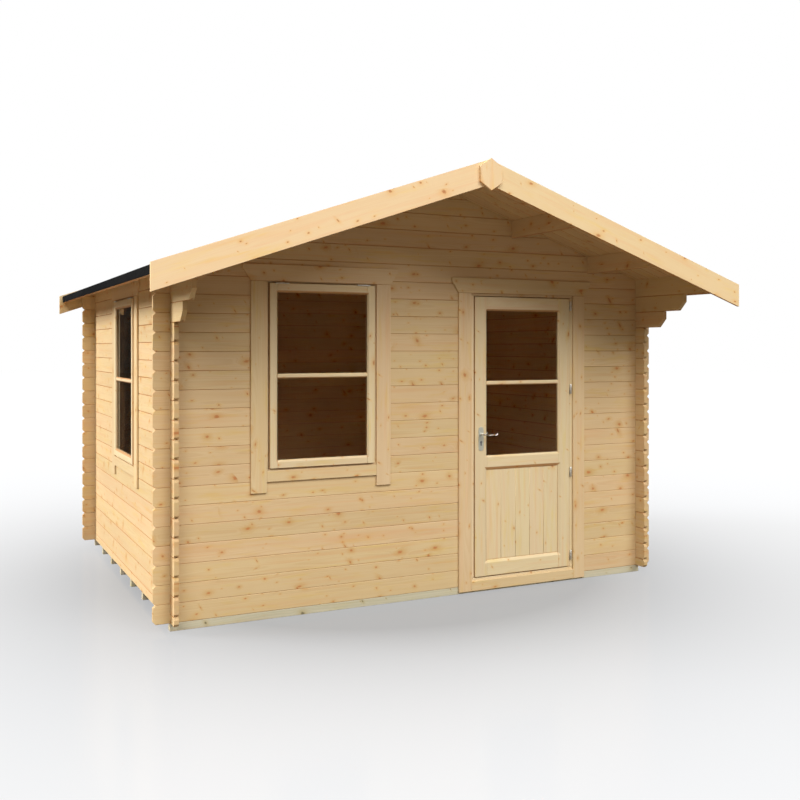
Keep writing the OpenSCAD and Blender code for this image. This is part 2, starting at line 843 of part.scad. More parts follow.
// The side window is the front one turned onto the left wall.
module at_side_window() {
    translate([0, side_win_y, side_win_z]) rotate([0, 0, -90]) children();
}

module window_frame() {
    inner = sash_w / 2 + sash_gap;
    stop_y = sash_t - sash_proud + fit;
    head = sash_z + sash_h + sash_gap;
    color("#ecd0a0") {
        both_hands() translate([0, 0, fit]) linear_extrude(head + win_head - fit)
            rebate(inner, inner + win_jamb, stop_w, stop_y);
        block([-inner + fit, 0, fit], [inner - fit, stop_y - fit, win_sill]);
        block([-inner + stop_w + fit, stop_y, fit], [inner - stop_w - fit, frame_d,
            win_sill + stop_w]);
        block([-inner + fit, 0, head], [inner - fit, stop_y - fit, head + win_head]);
        block([-inner + stop_w + fit, stop_y, head - stop_w], [inner - stop_w - fit, frame_d,
            head + win_head]);
    }
}

module window_sash() {
    half = sash_w / 2;
    inside = half - sash_stile - fit;
    y0 = -sash_proud;
    y1 = sash_t - sash_proud;
    bar_z = sash_z + sash_foot + (sash_h - sash_top - sash_foot - bar_h) / 2;
    color("#efd3a1") {
        difference() {
            union() {
                both_hands() block([half - sash_stile, y0, sash_z], [half, y1, sash_z + sash_h]);
                block([-inside, y0, sash_z], [inside, y1, sash_z + sash_foot]);
                block([-inside, y0, sash_z + sash_h - sash_top], [inside, y1, sash_z + sash_h]);
            }
            bevels(sash_w - 2 * sash_stile, sash_z + sash_foot, sash_z + sash_h - sash_top,
                y0, y1, glass_bevel);
        }
        glazing_bar(inside, (y0 + y1) / 2, bar_z);
    }
}

module window_glass() {
    color([0.7, 0.8, 0.8, 0.35]) panes(sash_w - 2 * sash_stile - 2 * fit,
        sash_t / 2 - sash_proud - glass_t / 2, sash_z + sash_foot,
        sash_h - sash_top - sash_foot);
}

module window_trim() {
    half = sash_trim + trim_w;
    head = sash_z + sash_h + sash_gap;
    foot = head + win_head_reveal;
    apron = sash_z - sash_gap - win_apron_drop - win_apron_h;
    inside = sash_w / 2 + sash_gap + win_jamb + fit;
    color("#efd5a6") {
        both_hands() block([sash_trim, -trim_t, apron - win_tail], [half, -fit, foot - fit]);
        block([-sash_trim + fit, -trim_t, apron], [sash_trim - fit, -fit, apron + win_apron_h]);
        head_trim(half, foot);
        // the same boards inside the cabin, round the frame
        both_hands() block([inside, log_t + fit, 0], [inside + trim_w, log_t + trim_t,
            head + win_head]);
        for (z = [-trim_w - fit, head + win_head + fit])
            block([-inside - trim_w, log_t + fit, z], [inside + trim_w, log_t + trim_t,
                z + trim_w]);
    }
}

// Two hinges under the head trim board: a knuckle before the sash, its plates in the joint.
module window_hinges() {
    top = sash_z + sash_h;
    y = -sash_proud - sash_hinge_r - fit;
    color("#6f7276") for (x = [-sash_hinge_x, sash_hinge_x])
        translate([x - sash_hinge_l / 2, 0, 0]) {
            translate([0, y, top + sash_gap - sash_hinge_r - fit]) rotate([0, 90, 0])
                cylinder(r = sash_hinge_r, h = sash_hinge_l);
            block([0, y, top + fit], [sash_hinge_l, y + sash_plate, top + sash_gap - fit]);
        }
}

module front_window_frame() {
    at_front_window() window_frame();
}

module front_window_sash() {
    at_front_window() window_sash();
}

module front_window_glass() {
    at_front_window() window_glass();
}

module front_window_trim() {
    at_front_window() window_trim();
}

module front_window_hinges() {
    at_front_window() window_hinges();
}

module side_window_frame() {
    at_side_window() window_frame();
}

module side_window_sash() {
    at_side_window() window_sash();
}

module side_window_glass() {
    at_side_window() window_glass();
}

module side_window_trim() {
    at_side_window() window_trim();
}

module side_window_hinges() {
    at_side_window() window_hinges();
}

place() bearers();
place() floor_boards();
place() front_wall_lower();
place() front_wall_left();
place() front_wall_middle();
place() front_wall_right();
place() front_gable();
place() back_wall();
place() back_gable();
place() left_wall_lower();
place() left_wall_front();
place() left_wall_back();
place() right_wall();
place() wall_plates();
place() purlins();
place() roof_boards_left();
place() roof_boards_right();
place() felt_left();
place() felt_right();
place() eaves_battens();
place() front_bargeboards();
place() rear_bargeboards();
place() apex_plate();
place() door_frame();
place() door_threshold();
place() door_trim();
place() door_stiles();
place() door_rails();
place() door_glazing_bar();
place() door_panel();
place() door_glass();
place() door_hinge_sleeves();
place() door_hinge_pins();
place() door_lock_plates();
place() door_lever();
place() front_window_frame();
place() front_window_sash();
place() front_window_glass();
place() front_window_trim();
place() front_window_hinges();
place() side_window_frame();
place() side_window_sash();
place() side_window_glass();
place() side_window_trim();
place() side_window_hinges();
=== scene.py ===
"""The looks of a garden log cabin, dressed over its packed construction.

The frame gives every log, board and fitting as a solid. Each sub-assembly below takes its own
solids, softens their arrises, gives every board a grain and a tone of its own, and adds what
the construction leaves out: single roof and floor boards, felt strips, nails, screws and the
shaped door furniture.
"""
import json
import logging
import math
import random
from dataclasses import dataclass, field
from enum import Enum
from typing import Callable, Optional, Sequence

import bmesh
import bpy
from mathutils import Matrix, Vector, noise


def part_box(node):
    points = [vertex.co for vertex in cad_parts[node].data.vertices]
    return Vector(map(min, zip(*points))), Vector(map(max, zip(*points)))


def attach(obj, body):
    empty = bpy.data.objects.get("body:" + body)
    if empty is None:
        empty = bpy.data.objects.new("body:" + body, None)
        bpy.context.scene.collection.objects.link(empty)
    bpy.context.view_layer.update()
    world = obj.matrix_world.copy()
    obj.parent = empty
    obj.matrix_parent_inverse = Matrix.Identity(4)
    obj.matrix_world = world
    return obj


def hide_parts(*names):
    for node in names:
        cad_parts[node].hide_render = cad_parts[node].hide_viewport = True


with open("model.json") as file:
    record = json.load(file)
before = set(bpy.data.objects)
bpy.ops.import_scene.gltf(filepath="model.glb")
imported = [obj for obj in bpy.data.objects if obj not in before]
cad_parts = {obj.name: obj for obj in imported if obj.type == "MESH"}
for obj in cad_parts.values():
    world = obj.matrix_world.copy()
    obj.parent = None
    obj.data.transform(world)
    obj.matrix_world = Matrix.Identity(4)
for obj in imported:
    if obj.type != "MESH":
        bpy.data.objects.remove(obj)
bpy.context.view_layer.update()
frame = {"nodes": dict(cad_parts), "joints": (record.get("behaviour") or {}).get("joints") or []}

MERGE = 0.00001                 # points nearer than this are one
SNAP = 1e-7                     # a plane cuts no edge that is nearer to it than this
FAR = 1e3                       # beyond everything
NUDGE = 0.2                     # keeps half millimetres from being rounded either way
KERF = 0.0003                   # gap between two boards that are laid side by side
FLAT = math.radians(0.6)        # faces that differ less lie in one plane
SHARP = math.radians(20)        # edges over this angle are rounded
TRUNK = 90                      # metres of trunk that the boards are cut from
PITH_ASIDE = 0.05               # how far a board's middle may lie beside the pith
PITH_BEHIND = (0.035, 0.11)     # how far the pith lies behind it
CROSSCUT = 0.6                  # a face that looks this much along a board is its end
BROAD = 0.92                    # one that looks this much through it is a broad face
NARROW = 0.3                    # one that looks less than this through it is a narrow edge
WHITE = (1.0, 1.0, 1.0)
UP = Vector((0, 0, 1))
RIGHTWARDS = Vector((1, 0, 0))
BACKWARDS = Vector((0, 1, 0))
log = logging.getLogger("cabin")


class Run(Enum):
    """How the grain of a board runs."""

    LONGEST = "along the board's longest side"
    SLOPE = "down the slope of the roof"


class Side(Enum):
    """A side of a slope or of an opening, as its sign along X."""

    LEFT = -1
    RIGHT = 1


# ---------------------------------------------------------------- shader helpers


class Graph:
    """A shader node tree with short calls that add nodes and link them."""

    def __init__(self, tree: bpy.types.NodeTree) -> None:
        """Keeps the tree.

        Args:
            tree: the tree that the nodes go into.
        """
        self.tree = tree

    def feed(self, socket: bpy.types.NodeSocket, value: object) -> None:
        """Links a socket to another, or sets its plain value.

        Args:
            socket: the input that is fed.
            value: an output socket, a number, a vector or a colour; None leaves it.
        """
        if value is None:
            return
        if isinstance(value, bpy.types.NodeSocket):
            self.tree.links.new(value, socket)
            return
        if isinstance(value, (tuple, list)) and len(value) == 3 and socket.type == "RGBA":
            value = (*value, 1.0)
        socket.default_value = value

    def add(self, kind: str, inputs: Optional[dict] = None, **settings: object) -> bpy.types.Node:
        """Adds a node.

        Args:
            kind: the node's type name without its ShaderNode prefix.
            inputs: values or sockets for its inputs, by name or index.
            **settings: properties of the node.

        Returns:
            The new node.
        """
        node = self.tree.nodes.new("ShaderNode" + kind)
        for key, value in settings.items():
            setattr(node, key, value)
        for key, value in (inputs or {}).items():
            self.feed(node.inputs[key], value)
        return node

    def math(self, operation: str, a: object, b: object = None, c: object = None,
             clamp: bool = False) -> bpy.types.NodeSocket:
        """Adds a Math node and returns its value.

        Args:
            operation: the node's operation.
            a: first value or socket.
            b: second value or socket.
            c: third value or socket.
            clamp: whether the result is held between 0 and 1.

        Returns:
            The result socket.
        """
        node = self.add("Math", operation=operation, use_clamp=clamp)
        for socket, value in zip(node.inputs, (a, b, c)):
            self.feed(socket, value)
        return node.outputs[0]

    def times(self, a: object, b: object) -> bpy.types.NodeSocket:
        """Multiplies two values."""
        return self.math("MULTIPLY", a, b)

    def plus(self, a: object, b: object, clamp: bool = False) -> bpy.types.NodeSocket:
        """Adds two values, and holds the sum between 0 and 1 if clamp is set."""
        return self.math("ADD", a, b, clamp=clamp)

    def rest(self, value: object) -> bpy.types.NodeSocket:
        """Takes a value from one."""
        return self.math("SUBTRACT", 1.0, value)

    def scaled(self, value: object, gain: object, start: object) -> bpy.types.NodeSocket:
        """Multiplies a value by a gain and adds a start."""
        return self.math("MULTIPLY_ADD", value, gain, start)

    def hypotenuse(self, a: object, b: object) -> bpy.types.NodeSocket:
        """Gives the length of the diagonal over two sides."""
        return self.math("SQRT", self.plus(self.math("POWER", a, 2.0),
                                           self.math("POWER", b, 2.0)))

    def vector(self, operation: str, a: object, b: object = None) -> bpy.types.NodeSocket:
        """Adds a Vector Math node and returns its vector, or its value for a length.

        Args:
            operation: the node's operation.
            a: first vector or socket.
            b: second vector or socket.

        Returns:
            The result socket.
        """
        node = self.add("VectorMath", operation=operation)
        self.feed(node.inputs[0], a)
        self.feed(node.inputs[1], b)
        return node.outputs["Value" if operation in ("LENGTH", "DOT_PRODUCT") else "Vector"]

    def step(self, value: object, low: float, high: float) -> bpy.types.NodeSocket:
        """Rises smoothly from 0 at low to 1 at high.

        Args:
            value: the socket that is tested.
            low: where the rise starts.
            high: where it ends.

        Returns:
            The result socket.
        """
        node = self.add("MapRange", interpolation_type="SMOOTHSTEP",
                        inputs={"Value": value, "From Min": low, "From Max": high})
        return node.outputs[0]

    def mix(self, factor: object, a: object, b: object,
            blend: str = "MIX") -> bpy.types.NodeSocket:
        """Mixes two colours.

        Args:
            factor: share of the second colour.
            a: first colour or socket.
            b: second colour or socket.
            blend: how they are blended.

        Returns:
            The mixed colour.
        """
        node = self.add("Mix", data_type="RGBA", blend_type=blend, clamp_factor=True)
        self.feed(node.inputs[0], factor)
        self.feed(node.inputs[6], a)
        self.feed(node.inputs[7], b)
        return node.outputs[2]

    def tinted(self, share: object, colour: object, tint: object) -> bpy.types.NodeSocket:
        """Multiplies a colour by a tint, as far as a share between 0 and 1 says."""
        return self.mix(share, colour, self.mix(1.0, colour, tint, "MULTIPLY"))

    def noise(self, vector: object, scale: float = 1.0, detail: float = 2.0,
              roughness: float = 0.5) -> bpy.types.NodeSocket:
        """Adds a noise and returns its value, about 0.5 in the middle.

        Args:
            vector: where it is read.
            scale: how fine it is.
            detail: octaves.
            roughness: strength of the finer octaves.

        Returns:
            The noise's value.
        """
        node = self.add("TexNoise", inputs={"Vector": vector, "Scale": scale, "Detail": detail,
                                            "Roughness": roughness})
        return node.outputs[0]

    def stretched(self, parts: Sequence[object], by: Sequence[float]) -> bpy.types.NodeSocket:
        """Joins three values to a vector, each times its own factor.

        Args:
            parts: three sockets.
            by: three factors.

        Returns:
            The vector.
        """
        products = [self.times(part, factor) for part, factor in zip(parts, by)]
        return self.add("CombineXYZ", inputs=dict(enumerate(products))).outputs[0]

    def attribute(self, name: str, output: str) -> bpy.types.NodeSocket:
        """Reads an attribute of the mesh.

        Args:
            name: the attribute.
            output: Vector, Color or Fac.

        Returns:
            The attribute's socket.
        """
        return self.add("Attribute", attribute_name=name).outputs[output]

    def place(self) -> bpy.types.NodeSocket:
        """Reads the place on the piece, in metres."""
        return self.add("TexCoord").outputs["Object"]


def make_group(name: str, inputs: Sequence[tuple], outputs: Sequence[tuple],
               build: Callable[[Graph, dict], dict]) -> bpy.types.NodeTree:
    """Makes a shader node group with named sockets.

    Args:
        name: the group's name.
        inputs: name, socket type and default value of each input.
        outputs: name and socket type of each output.
        build: fills the tree from the input sockets and returns the output sockets by name.

    Returns:
        The node group.
    """
    tree = bpy.data.node_groups.new(name, "ShaderNodeTree")
    for label, kind, default in inputs:
        socket = tree.interface.new_socket(name=label, in_out="INPUT",
                                           socket_type="NodeSocket" + kind)
        if default is not None:
            socket.default_value = default
    for label, kind in outputs:
        tree.interface.new_socket(name=label, in_out="OUTPUT", socket_type="NodeSocket" + kind)
    graph = Graph(tree)
    entry = tree.nodes.new("NodeGroupInput")
    leaving = tree.nodes.new("NodeGroupOutput")
    made = build(graph, {socket.name: socket for socket in entry.outputs if socket.name})
    for label, socket in made.items():
        tree.links.new(socket, leaving.inputs[label])
    return tree


@dataclass(frozen=True)
class Knots:
    """One size of knots, scattered over a board with at most one in each cell.

    Lots are random numbers between 0 and 1, one set for each cell.
    """

    cell: tuple
    size: float = 1.0
    plenty: float = 1.0
    strength: float = 0.78
    smallest: float = 0.35
    spread: float = 0.8
    rarity: float = 1.6
    slant: float = 1.2
    squeeze: tuple = (0.9, 0.75)
    raggedness: float = 1.1
    rags: tuple = (85.0, 140.0, 20.0)
    reach_of_core: tuple = (0.30, 1.35)
    reach_of_rim: tuple = (0.25, 0.85)
    reach_of_halo: float = 2.6

    def scatter(self, graph: Graph, place: Sequence[object], share: object,
                radius: object) -> dict:
        """Adds the nodes that scatter the knots.

        Args:
            graph: the tree that the nodes go into.
            place: sockets of the places along, across and through the board.
            share: share of the cells that hold a knot.
            radius: radius of a large knot in metres.

        Returns:
            Masks of the knot, its rim and the wood bent round it, its radius and its darkness.
        """
        along, across, _ = place
        long, wide = self.cell
        spot = graph.stretched((along, across, across), (1 / long, 1 / wide, 0.0))
        cells = graph.add("TexVoronoi", voronoi_dimensions="2D", feature="F1",
                          inputs={"Vector": spot, "Scale": 1.0, "Randomness": 0.95})
        offset = graph.vector("MULTIPLY", graph.vector("SUBTRACT", spot,
                                                       cells.outputs["Position"]),
                              (long, wide, 0.0))
        lots = graph.add("SeparateColor", inputs={0: cells.outputs["Color"]}).outputs
        away = graph.add("SeparateXYZ", inputs={0: offset}).outputs
        size = graph.times(radius, graph.scaled(graph.math("POWER", lots[0], self.rarity),
                                                self.spread, self.smallest))
        # some knots are cut lengthwise, and lie aslant over the board
        slant = graph.scaled(lots[1], self.slant, -self.slant / 2)
        squeeze = graph.scaled(graph.math("POWER", lots[1], 4.0), *self.squeeze)
        flat = graph.times(graph.plus(away[0], graph.times(away[1], slant)), squeeze)
        tall = graph.math("DIVIDE", away[1], squeeze)
        ragged = graph.noise(graph.stretched(place, self.rags), 1.0, 2.0)
        reach = graph.plus(graph.math("DIVIDE", graph.hypotenuse(flat, tall), size),
                           graph.scaled(ragged, self.raggedness, -self.raggedness / 2))
        there = graph.math("LESS_THAN", lots[2], share)
        core = graph.times(there, graph.rest(graph.step(reach, *self.reach_of_core)))
        rim = graph.times(core, graph.step(reach, *self.reach_of_rim))
        far = graph.math("POWER", graph.math("DIVIDE", reach, self.reach_of_halo), 2.0)
        halo = graph.times(there, graph.math("EXPONENT", graph.times(far, -1.0)))
        return {"core": core, "rim": rim, "halo": halo, "size": size, "dark": lots[1]}


@dataclass(frozen=True)
class Spruce:
    """The figure of planed softwood.

    Scales are per metre along, across and through a board. Tints multiply the wood's colour,
    and a pair of levels says between which values of a noise its effect rises. A gain is a
    factor, alone or with the start that is added after it.
    """

    large: Knots = Knots((0.27, 0.095))
    small: Knots = Knots((0.15, 0.055), size=0.50, plenty=0.85, strength=0.76)
    crowds: tuple = (1.5, 3.0, 1.0)
    crowd_levels: tuple = (0.38, 0.62)
    warps: tuple = (0.8, 7.0, 7.0)
    warp: float = 0.030
    fibres: tuple = (9.0, 560.0, 560.0)
    streaks: tuple = (0.9, 46.0, 46.0)
    mottles: tuple = (2.0, 12.0, 12.0)
    clouds: tuple = (3.2, 26.0, 9.0)
    blushes: tuple = (1.6, 34.0, 9.0)
    elsewhere: float = 7.7
    early: tuple = (0.2, 0.88)
    crowd_gain: tuple = (0.75, 0.45)
    push: float = 1.6
    mottle_gain: tuple = (0.55, -0.20)
    streak_gain: tuple = (0.34, -0.14)
    fibre_gain: tuple = (0.26, -0.13)
    halo_gain: float = 0.36
    resin_levels: tuple = (0.50, 0.78)
    resin_share: float = 0.85
    blush_levels: tuple = (0.50, 0.75)
    blush_share: float = 0.6
    light_gain: tuple = (0.08, 0.96)
    hues: float = 7.31
    halo_share: float = 0.50
    end_share: float = 0.35
    fibre_roughness: tuple = (0.16, -0.08)
    knot_polish: float = 0.12
    late_height: float = 0.35
    fibre_height: float = 0.5
    knot_height: float = 0.4
    resin_tint: tuple = (1.0, 0.96, 0.70)
    blush_tint: tuple = (1.0, 0.86, 0.78)
    yellower: tuple = (0.985, 1.005, 0.95)
    pinker: tuple = (1.01, 0.985, 0.99)
    halo_tint: tuple = (1.0, 0.80, 0.44)
    heart_tint: tuple = (0.66, 0.46, 0.38)
    end_tint: tuple = (0.84, 0.74, 0.62)
    # painted shade in the joints, under the logs and under the roof
    painted_shade_tint: tuple = (0.74, 0.49, 0.33)
    # painted light on the faces inside the room
    painted_light_tint: tuple = (1.26, 1.26, 1.38)

    def build(self, graph: Graph, given: dict) -> dict:
        """Fills the group: growth rings about a pith, fibres, mottling and knots.

        Args:
            graph: the group's tree.
            given: the group's input sockets by name.

        Returns:
            The group's outputs by name.
        """
        place = tuple(graph.add("SeparateXYZ", inputs={0: given["Grain"]}).outputs)
        along, across, deep = place
        shifted = (graph.plus(along, self.elsewhere), across, deep)
        # a large warp gathers the knots in groups, with clear wood between them
        crowd = graph.step(graph.noise(graph.stretched(place, self.crowds), 1.0, 1.0),
                           *self.crowd_levels)
        share = graph.times(given["Knot Share"], graph.scaled(crowd, *self.crowd_gain))
        large = self.large.scatter(graph, place, share, given["Knot Radius"])
        small = self.small.scatter(graph, shifted, graph.times(share, self.small.plenty),
                                   graph.times(given["Knot Radius"], self.small.size))
        # growth rings, bent by a slow warp and round each knot
        slow = graph.noise(graph.stretched(place, self.warps), 1.0, 2.0)
        ring = graph.plus(graph.hypotenuse(across, deep),
                          graph.scaled(slow, self.warp, -self.warp / 2))
        ring = graph.plus(ring, graph.times(large["halo"],
                                            graph.times(large["size"], self.push)))
        ring = graph.plus(ring, graph.times(small["halo"], small["size"]))
        phase = graph.math("FRACT", graph.math("DIVIDE", ring, given["Ring Width"]))
        late = graph.times(graph.step(phase, *self.early),
                           graph.rest(graph.step(phase, self.early[1], 1.0)))
        fibre = graph.noise(graph.stretched(place, self.fibres), 1.0, 2.0, 0.6)
        streak = graph.noise(graph.stretched(place, self.streaks), 1.0, 2.0)
        mottle = graph.noise(graph.stretched(place, self.mottles), 1.0, 3.0)
        amount = graph.times(late, given["Ring Depth"])
        for figure, gain in ((mottle, self.mottle_gain), (streak, self.streak_gain),
                             (fibre, self.fibre_gain)):
            amount = graph.plus(amount, graph.scaled(figure, *gain))
        amount = graph.plus(amount, graph.times(large["halo"], self.halo_gain), clamp=True)
        wood = graph.mix(amount, given["Pale"], given["Deep"])
        # resin tints the sapwood yellow in places, and the heartwood a little pink
        clouds = graph.noise(graph.stretched(place, self.clouds), 1.0, 3.0, 0.6)
        wood = graph.tinted(graph.times(graph.step(clouds, *self.resin_levels),
                                        self.resin_share), wood, self.resin_tint)
        blush = graph.noise(graph.stretched(shifted, self.blushes), 1.0, 2.0)
        wood = graph.tinted(graph.times(graph.step(blush, *self.blush_levels),
                                        self.blush_share), wood, self.blush_tint)
        # each board is a little lighter or darker, yellower or pinker than the next
        light = graph.scaled(given["Tone"], *self.light_gain)
        grey = graph.add("CombineXYZ", inputs={0: light, 1: light, 2: light}).outputs[0]
        wood = graph.mix(1.0, wood, grey, "MULTIPLY")
        hue = graph.math("FRACT", graph.times(given["Tone"], self.hues))
        wood = graph.mix(1.0, wood, graph.mix(hue, self.yellower, self.pinker), "MULTIPLY")
        for knots, kind in ((large, self.large), (small, self.small)):
            wood = graph.tinted(graph.times(knots["halo"], self.halo_share), wood,
                                self.halo_tint)
            heart = graph.tinted(graph.times(knots["rim"], graph.math(
                "POWER", knots["dark"], 2.0)), given["Knot"], self.heart_tint)
            wood = graph.mix(graph.times(knots["core"], kind.strength), wood, heart)
        wood = graph.tinted(graph.times(given["End"], self.end_share), wood, self.end_tint)
        # painted shade: undersides of logs, sloped faces under the roof, joints and narrow edges
        # are darkened and reddened, standing in for the shade and bounced light in the gaps
        wood = graph.tinted(given["Seam"], wood, self.painted_shade_tint)
        # painted light: faces inside the room are lightened, standing in for more light reaching
        # them through the panes
        wood = graph.tinted(given["Fresh"], wood, self.painted_light_tint)
        rough = graph.plus(given["Roughness"], graph.scaled(fibre, *self.fibre_roughness))
        rough = graph.math("SUBTRACT", rough, graph.times(large["core"], self.knot_polish),
                           clamp=True)
        height = graph.plus(graph.times(late, self.late_height),
                            graph.times(fibre, self.fibre_height))
        height = graph.plus(height, graph.times(large["core"], self.knot_height))
        return {"Color": wood, "Roughness": rough, "Height": height}


@dataclass(frozen=True)
class Granules:
    """Crushed stone pressed into bitumen.

    The patches are a noise's scale, octaves and strength of the finer ones.
    """

    patches: tuple = (2.2, 4.0, 0.6)
    pale_levels: tuple = (0.55, 1.0)
    worn_levels: tuple = (0.36, 0.64)
    roughness: tuple = (0.25, 0.7)

    def build(self, graph: Graph, given: dict) -> dict:
        """Fills the group: grains in lots of light and dark, worn thin in patches.

        Args:
            graph: the group's tree.
            given: the group's input sockets by name.

        Returns:
            The group's outputs by name.
        """
        grains = graph.add("TexVoronoi", inputs={"Vector": given["Place"],
                                                 "Scale": given["Fineness"]})
        lots = graph.add("SeparateColor", inputs={0: grains.outputs["Color"]}).outputs
        patchy = graph.noise(given["Place"], *self.patches)
        pale = graph.times(graph.step(lots[0], *self.pale_levels), given["Sparkle"])
        stone = graph.mix(pale, given["Dark"], given["Pale"])
        # patches where the stone has worn thin are darker
        stone = graph.tinted(graph.step(patchy, *self.worn_levels), stone, given["Worn"])
        dome = graph.rest(grains.outputs["Distance"])
        rough = graph.scaled(lots[1], *self.roughness)
        return {"Color": stone, "Roughness": rough, "Height": dome}


@dataclass(frozen=True)
class Scuffs:
    """Fine brushing and cloudy handling marks on metal.

    The clouds are a noise's scale, octaves and strength of the finer ones.
    """

    brushing: tuple = (2400.0, 2400.0, 60.0)
    clouds: tuple = (55.0, 3.0, 0.6)
    cloud_levels: tuple = (0.35, 0.75)
    brushed_roughness: float = 0.10
    cloudy_roughness: tuple = (0.14, -0.09)

    def build(self, graph: Graph, given: dict) -> dict:
        """Fills the group.

        Args:
            graph: the group's tree.
            given: the group's input sockets by name.

        Returns:
            The group's outputs by name.
        """
        parts = graph.add("SeparateXYZ", inputs={0: given["Place"]}).outputs
        brushed = graph.noise(graph.stretched(parts, self.brushing), 1.0, 2.0)
        cloudy = graph.noise(given["Place"], *self.clouds)
        rough = graph.scaled(brushed, self.brushed_roughness, given["Roughness"])
        rough = graph.plus(rough, graph.scaled(cloudy, *self.cloudy_roughness), clamp=True)
        shade = graph.mix(graph.step(cloudy, *self.cloud_levels), given["Base"],
                          given["Dull"])
        return {"Color": shade, "Roughness": rough, "Height": brushed}


@dataclass
class Workshop:
    """The node groups that the finishes share, each built once."""

    outputs: tuple = (("Color", "Color"), ("Roughness", "Float"), ("Height", "Float"))
    groups: dict = field(default_factory=dict)

    def group(self, name: str) -> bpy.types.NodeTree:
        """Gives a shared group, building it at its first use.

        Args:
            name: spruce, granules or scuffs.

        Returns:
            The node group.
        """
        if name not in self.groups:
            self.groups[name] = {"spruce": self.spruce, "granules": self.granules,
                                 "scuffs": self.scuffs}[name]()
        return self.groups[name]

    def spruce(self) -> bpy.types.NodeTree:
        """Builds the group for planed softwood.

        Returns:
            The node group.
        """
        return make_group("spruce grain", [
            ("Grain", "Vector", None), ("Tone", "Float", 0.5), ("End", "Float", 0.0),
            # the masks of painted shade in the joints and of painted light inside the room
            ("Seam", "Float", 0.0), ("Fresh", "Float", 0.0),
            ("Pale", "Color", None), ("Deep", "Color", None), ("Knot", "Color", None),
            ("Ring Width", "Float", 0.005), ("Ring Depth", "Float", 0.4),
            ("Knot Radius", "Float", 0.01), ("Knot Share", "Float", 0.6),
            ("Roughness", "Float", 0.5)],
            self.outputs, Spruce().build)

    def granules(self) -> bpy.types.NodeTree:
        """Builds the group for mineral felt.

        Returns:
            The node group.
        """
        return make_group("felt granules", [
            ("Place", "Vector", None), ("Fineness", "Float", 600.0), ("Sparkle", "Float", 0.5),
            ("Dark", "Color", None), ("Pale", "Color", None), ("Worn", "Color", None)],
            self.outputs, Granules().build)

    def scuffs(self) -> bpy.types.NodeTree:
        """Builds the group for brushed metal.

        Returns:
            The node group.
        """
        return make_group("metal scuffs", [
            ("Place", "Vector", None), ("Roughness", "Float", 0.3),
            ("Base", "Color", None), ("Dull", "Color", None)],
            self.outputs, Scuffs().build)


SHOP = Workshop()


def start_material(name: str) -> tuple[bpy.types.Material, Graph, bpy.types.Node]:
    """Makes a material with a Principled shader alone in it.

    Args:
        name: the material's name.

    Returns:
        The material, its graph and its shader.
    """
    material = bpy.data.materials.new(name)
    material.use_nodes = True
    graph = Graph(material.node_tree)
    shader = next(n for n in material.node_tree.nodes if n.type == "BSDF_PRINCIPLED")
    return material, graph, shader


def apply_group(graph: Graph, shader: bpy.types.Node, group: str, values: dict,
                bump: float, distance: float) -> None:
    """Puts a shared group into a material and feeds the shader and a bump from it.

    Args:
        graph: the material's graph.
        shader: its Principled shader.
        group: the shared group's name.
        values: values or sockets for the group's inputs.
        bump: strength of the bump.
        distance: height of the bump in metres.
    """
    node = graph.add("Group", node_tree=SHOP.group(group))
    for key, value in values.items():
        graph.feed(node.inputs[key], value)
    relief = graph.add("Bump", inputs={"Strength": bump, "Distance": distance,
                                       "Height": node.outputs["Height"]})
    graph.feed(shader.inputs["Base Color"], node.outputs["Color"])
    graph.feed(shader.inputs["Roughness"], node.outputs["Roughness"])
    graph.feed(shader.inputs["Normal"], relief.outputs[0])


# ---------------------------------------------------------------- finishes


@dataclass(frozen=True)
class Finish:
    """What every finish has: the name of its material and the name of a slot, which the script
    keeps but does not use.
    """

    name: str
    slot: str

    def material(self) -> bpy.types.Material:
        """Builds the material, or gives the one already built.

        Returns:
            The material.
        """
        if self.name in bpy.data.materials:
            return bpy.data.materials[self.name]
        material, graph, shader = start_material(self.name)
        self.fill(graph, shader)
        return material

    def fill(self, graph: Graph, shader: bpy.types.Node) -> None:
        """Feeds the Principled shader, in the way of each kind of finish."""
        raise NotImplementedError


@dataclass(frozen=True)
class Timber(Finish):
    """A planed softwood finish. Colours are linear, lengths in metres."""

    pale: tuple = (0.74, 0.548, 0.309)
    deep: tuple = (0.60, 0.378, 0.178)
    knot: tuple = (0.55, 0.185, 0.060)
    ring_width: float = 0.0034
    ring_depth: float = 0.22
    knot_radius: float = 0.0125
    knot_share: float = 0.62
    roughness: float = 0.50
    bump: float = 0.2
    relief: float = 0.0006
    variety: float = 1.0
    shine: float = 0.32

    def fill(self, graph: Graph, shader: bpy.types.Node) -> None:
        """Feeds the shader with the spruce group.

        Args:
            graph: the material's graph.
            shader: its Principled shader.
        """
        tone = graph.scaled(graph.attribute("tone", "Fac"), self.variety,
                            0.5 - 0.5 * self.variety)
        # the masks include painted shade in the joints and painted light inside the room
        masks = {name.capitalize(): graph.attribute(name, "Fac")
                 for name in ("end", "seam", "fresh")}
        apply_group(graph, shader, "spruce", {
            "Grain": graph.attribute("grain", "Vector"), "Tone": tone, **masks,
            "Pale": self.pale, "Deep": self.deep, "Knot": self.knot,
            "Ring Width": self.ring_width, "Ring Depth": self.ring_depth,
            "Knot Radius": self.knot_radius, "Knot Share": self.knot_share,
            "Roughness": self.roughness}, self.bump, self.relief)
        shader.inputs["Specular IOR Level"].default_value = self.shine


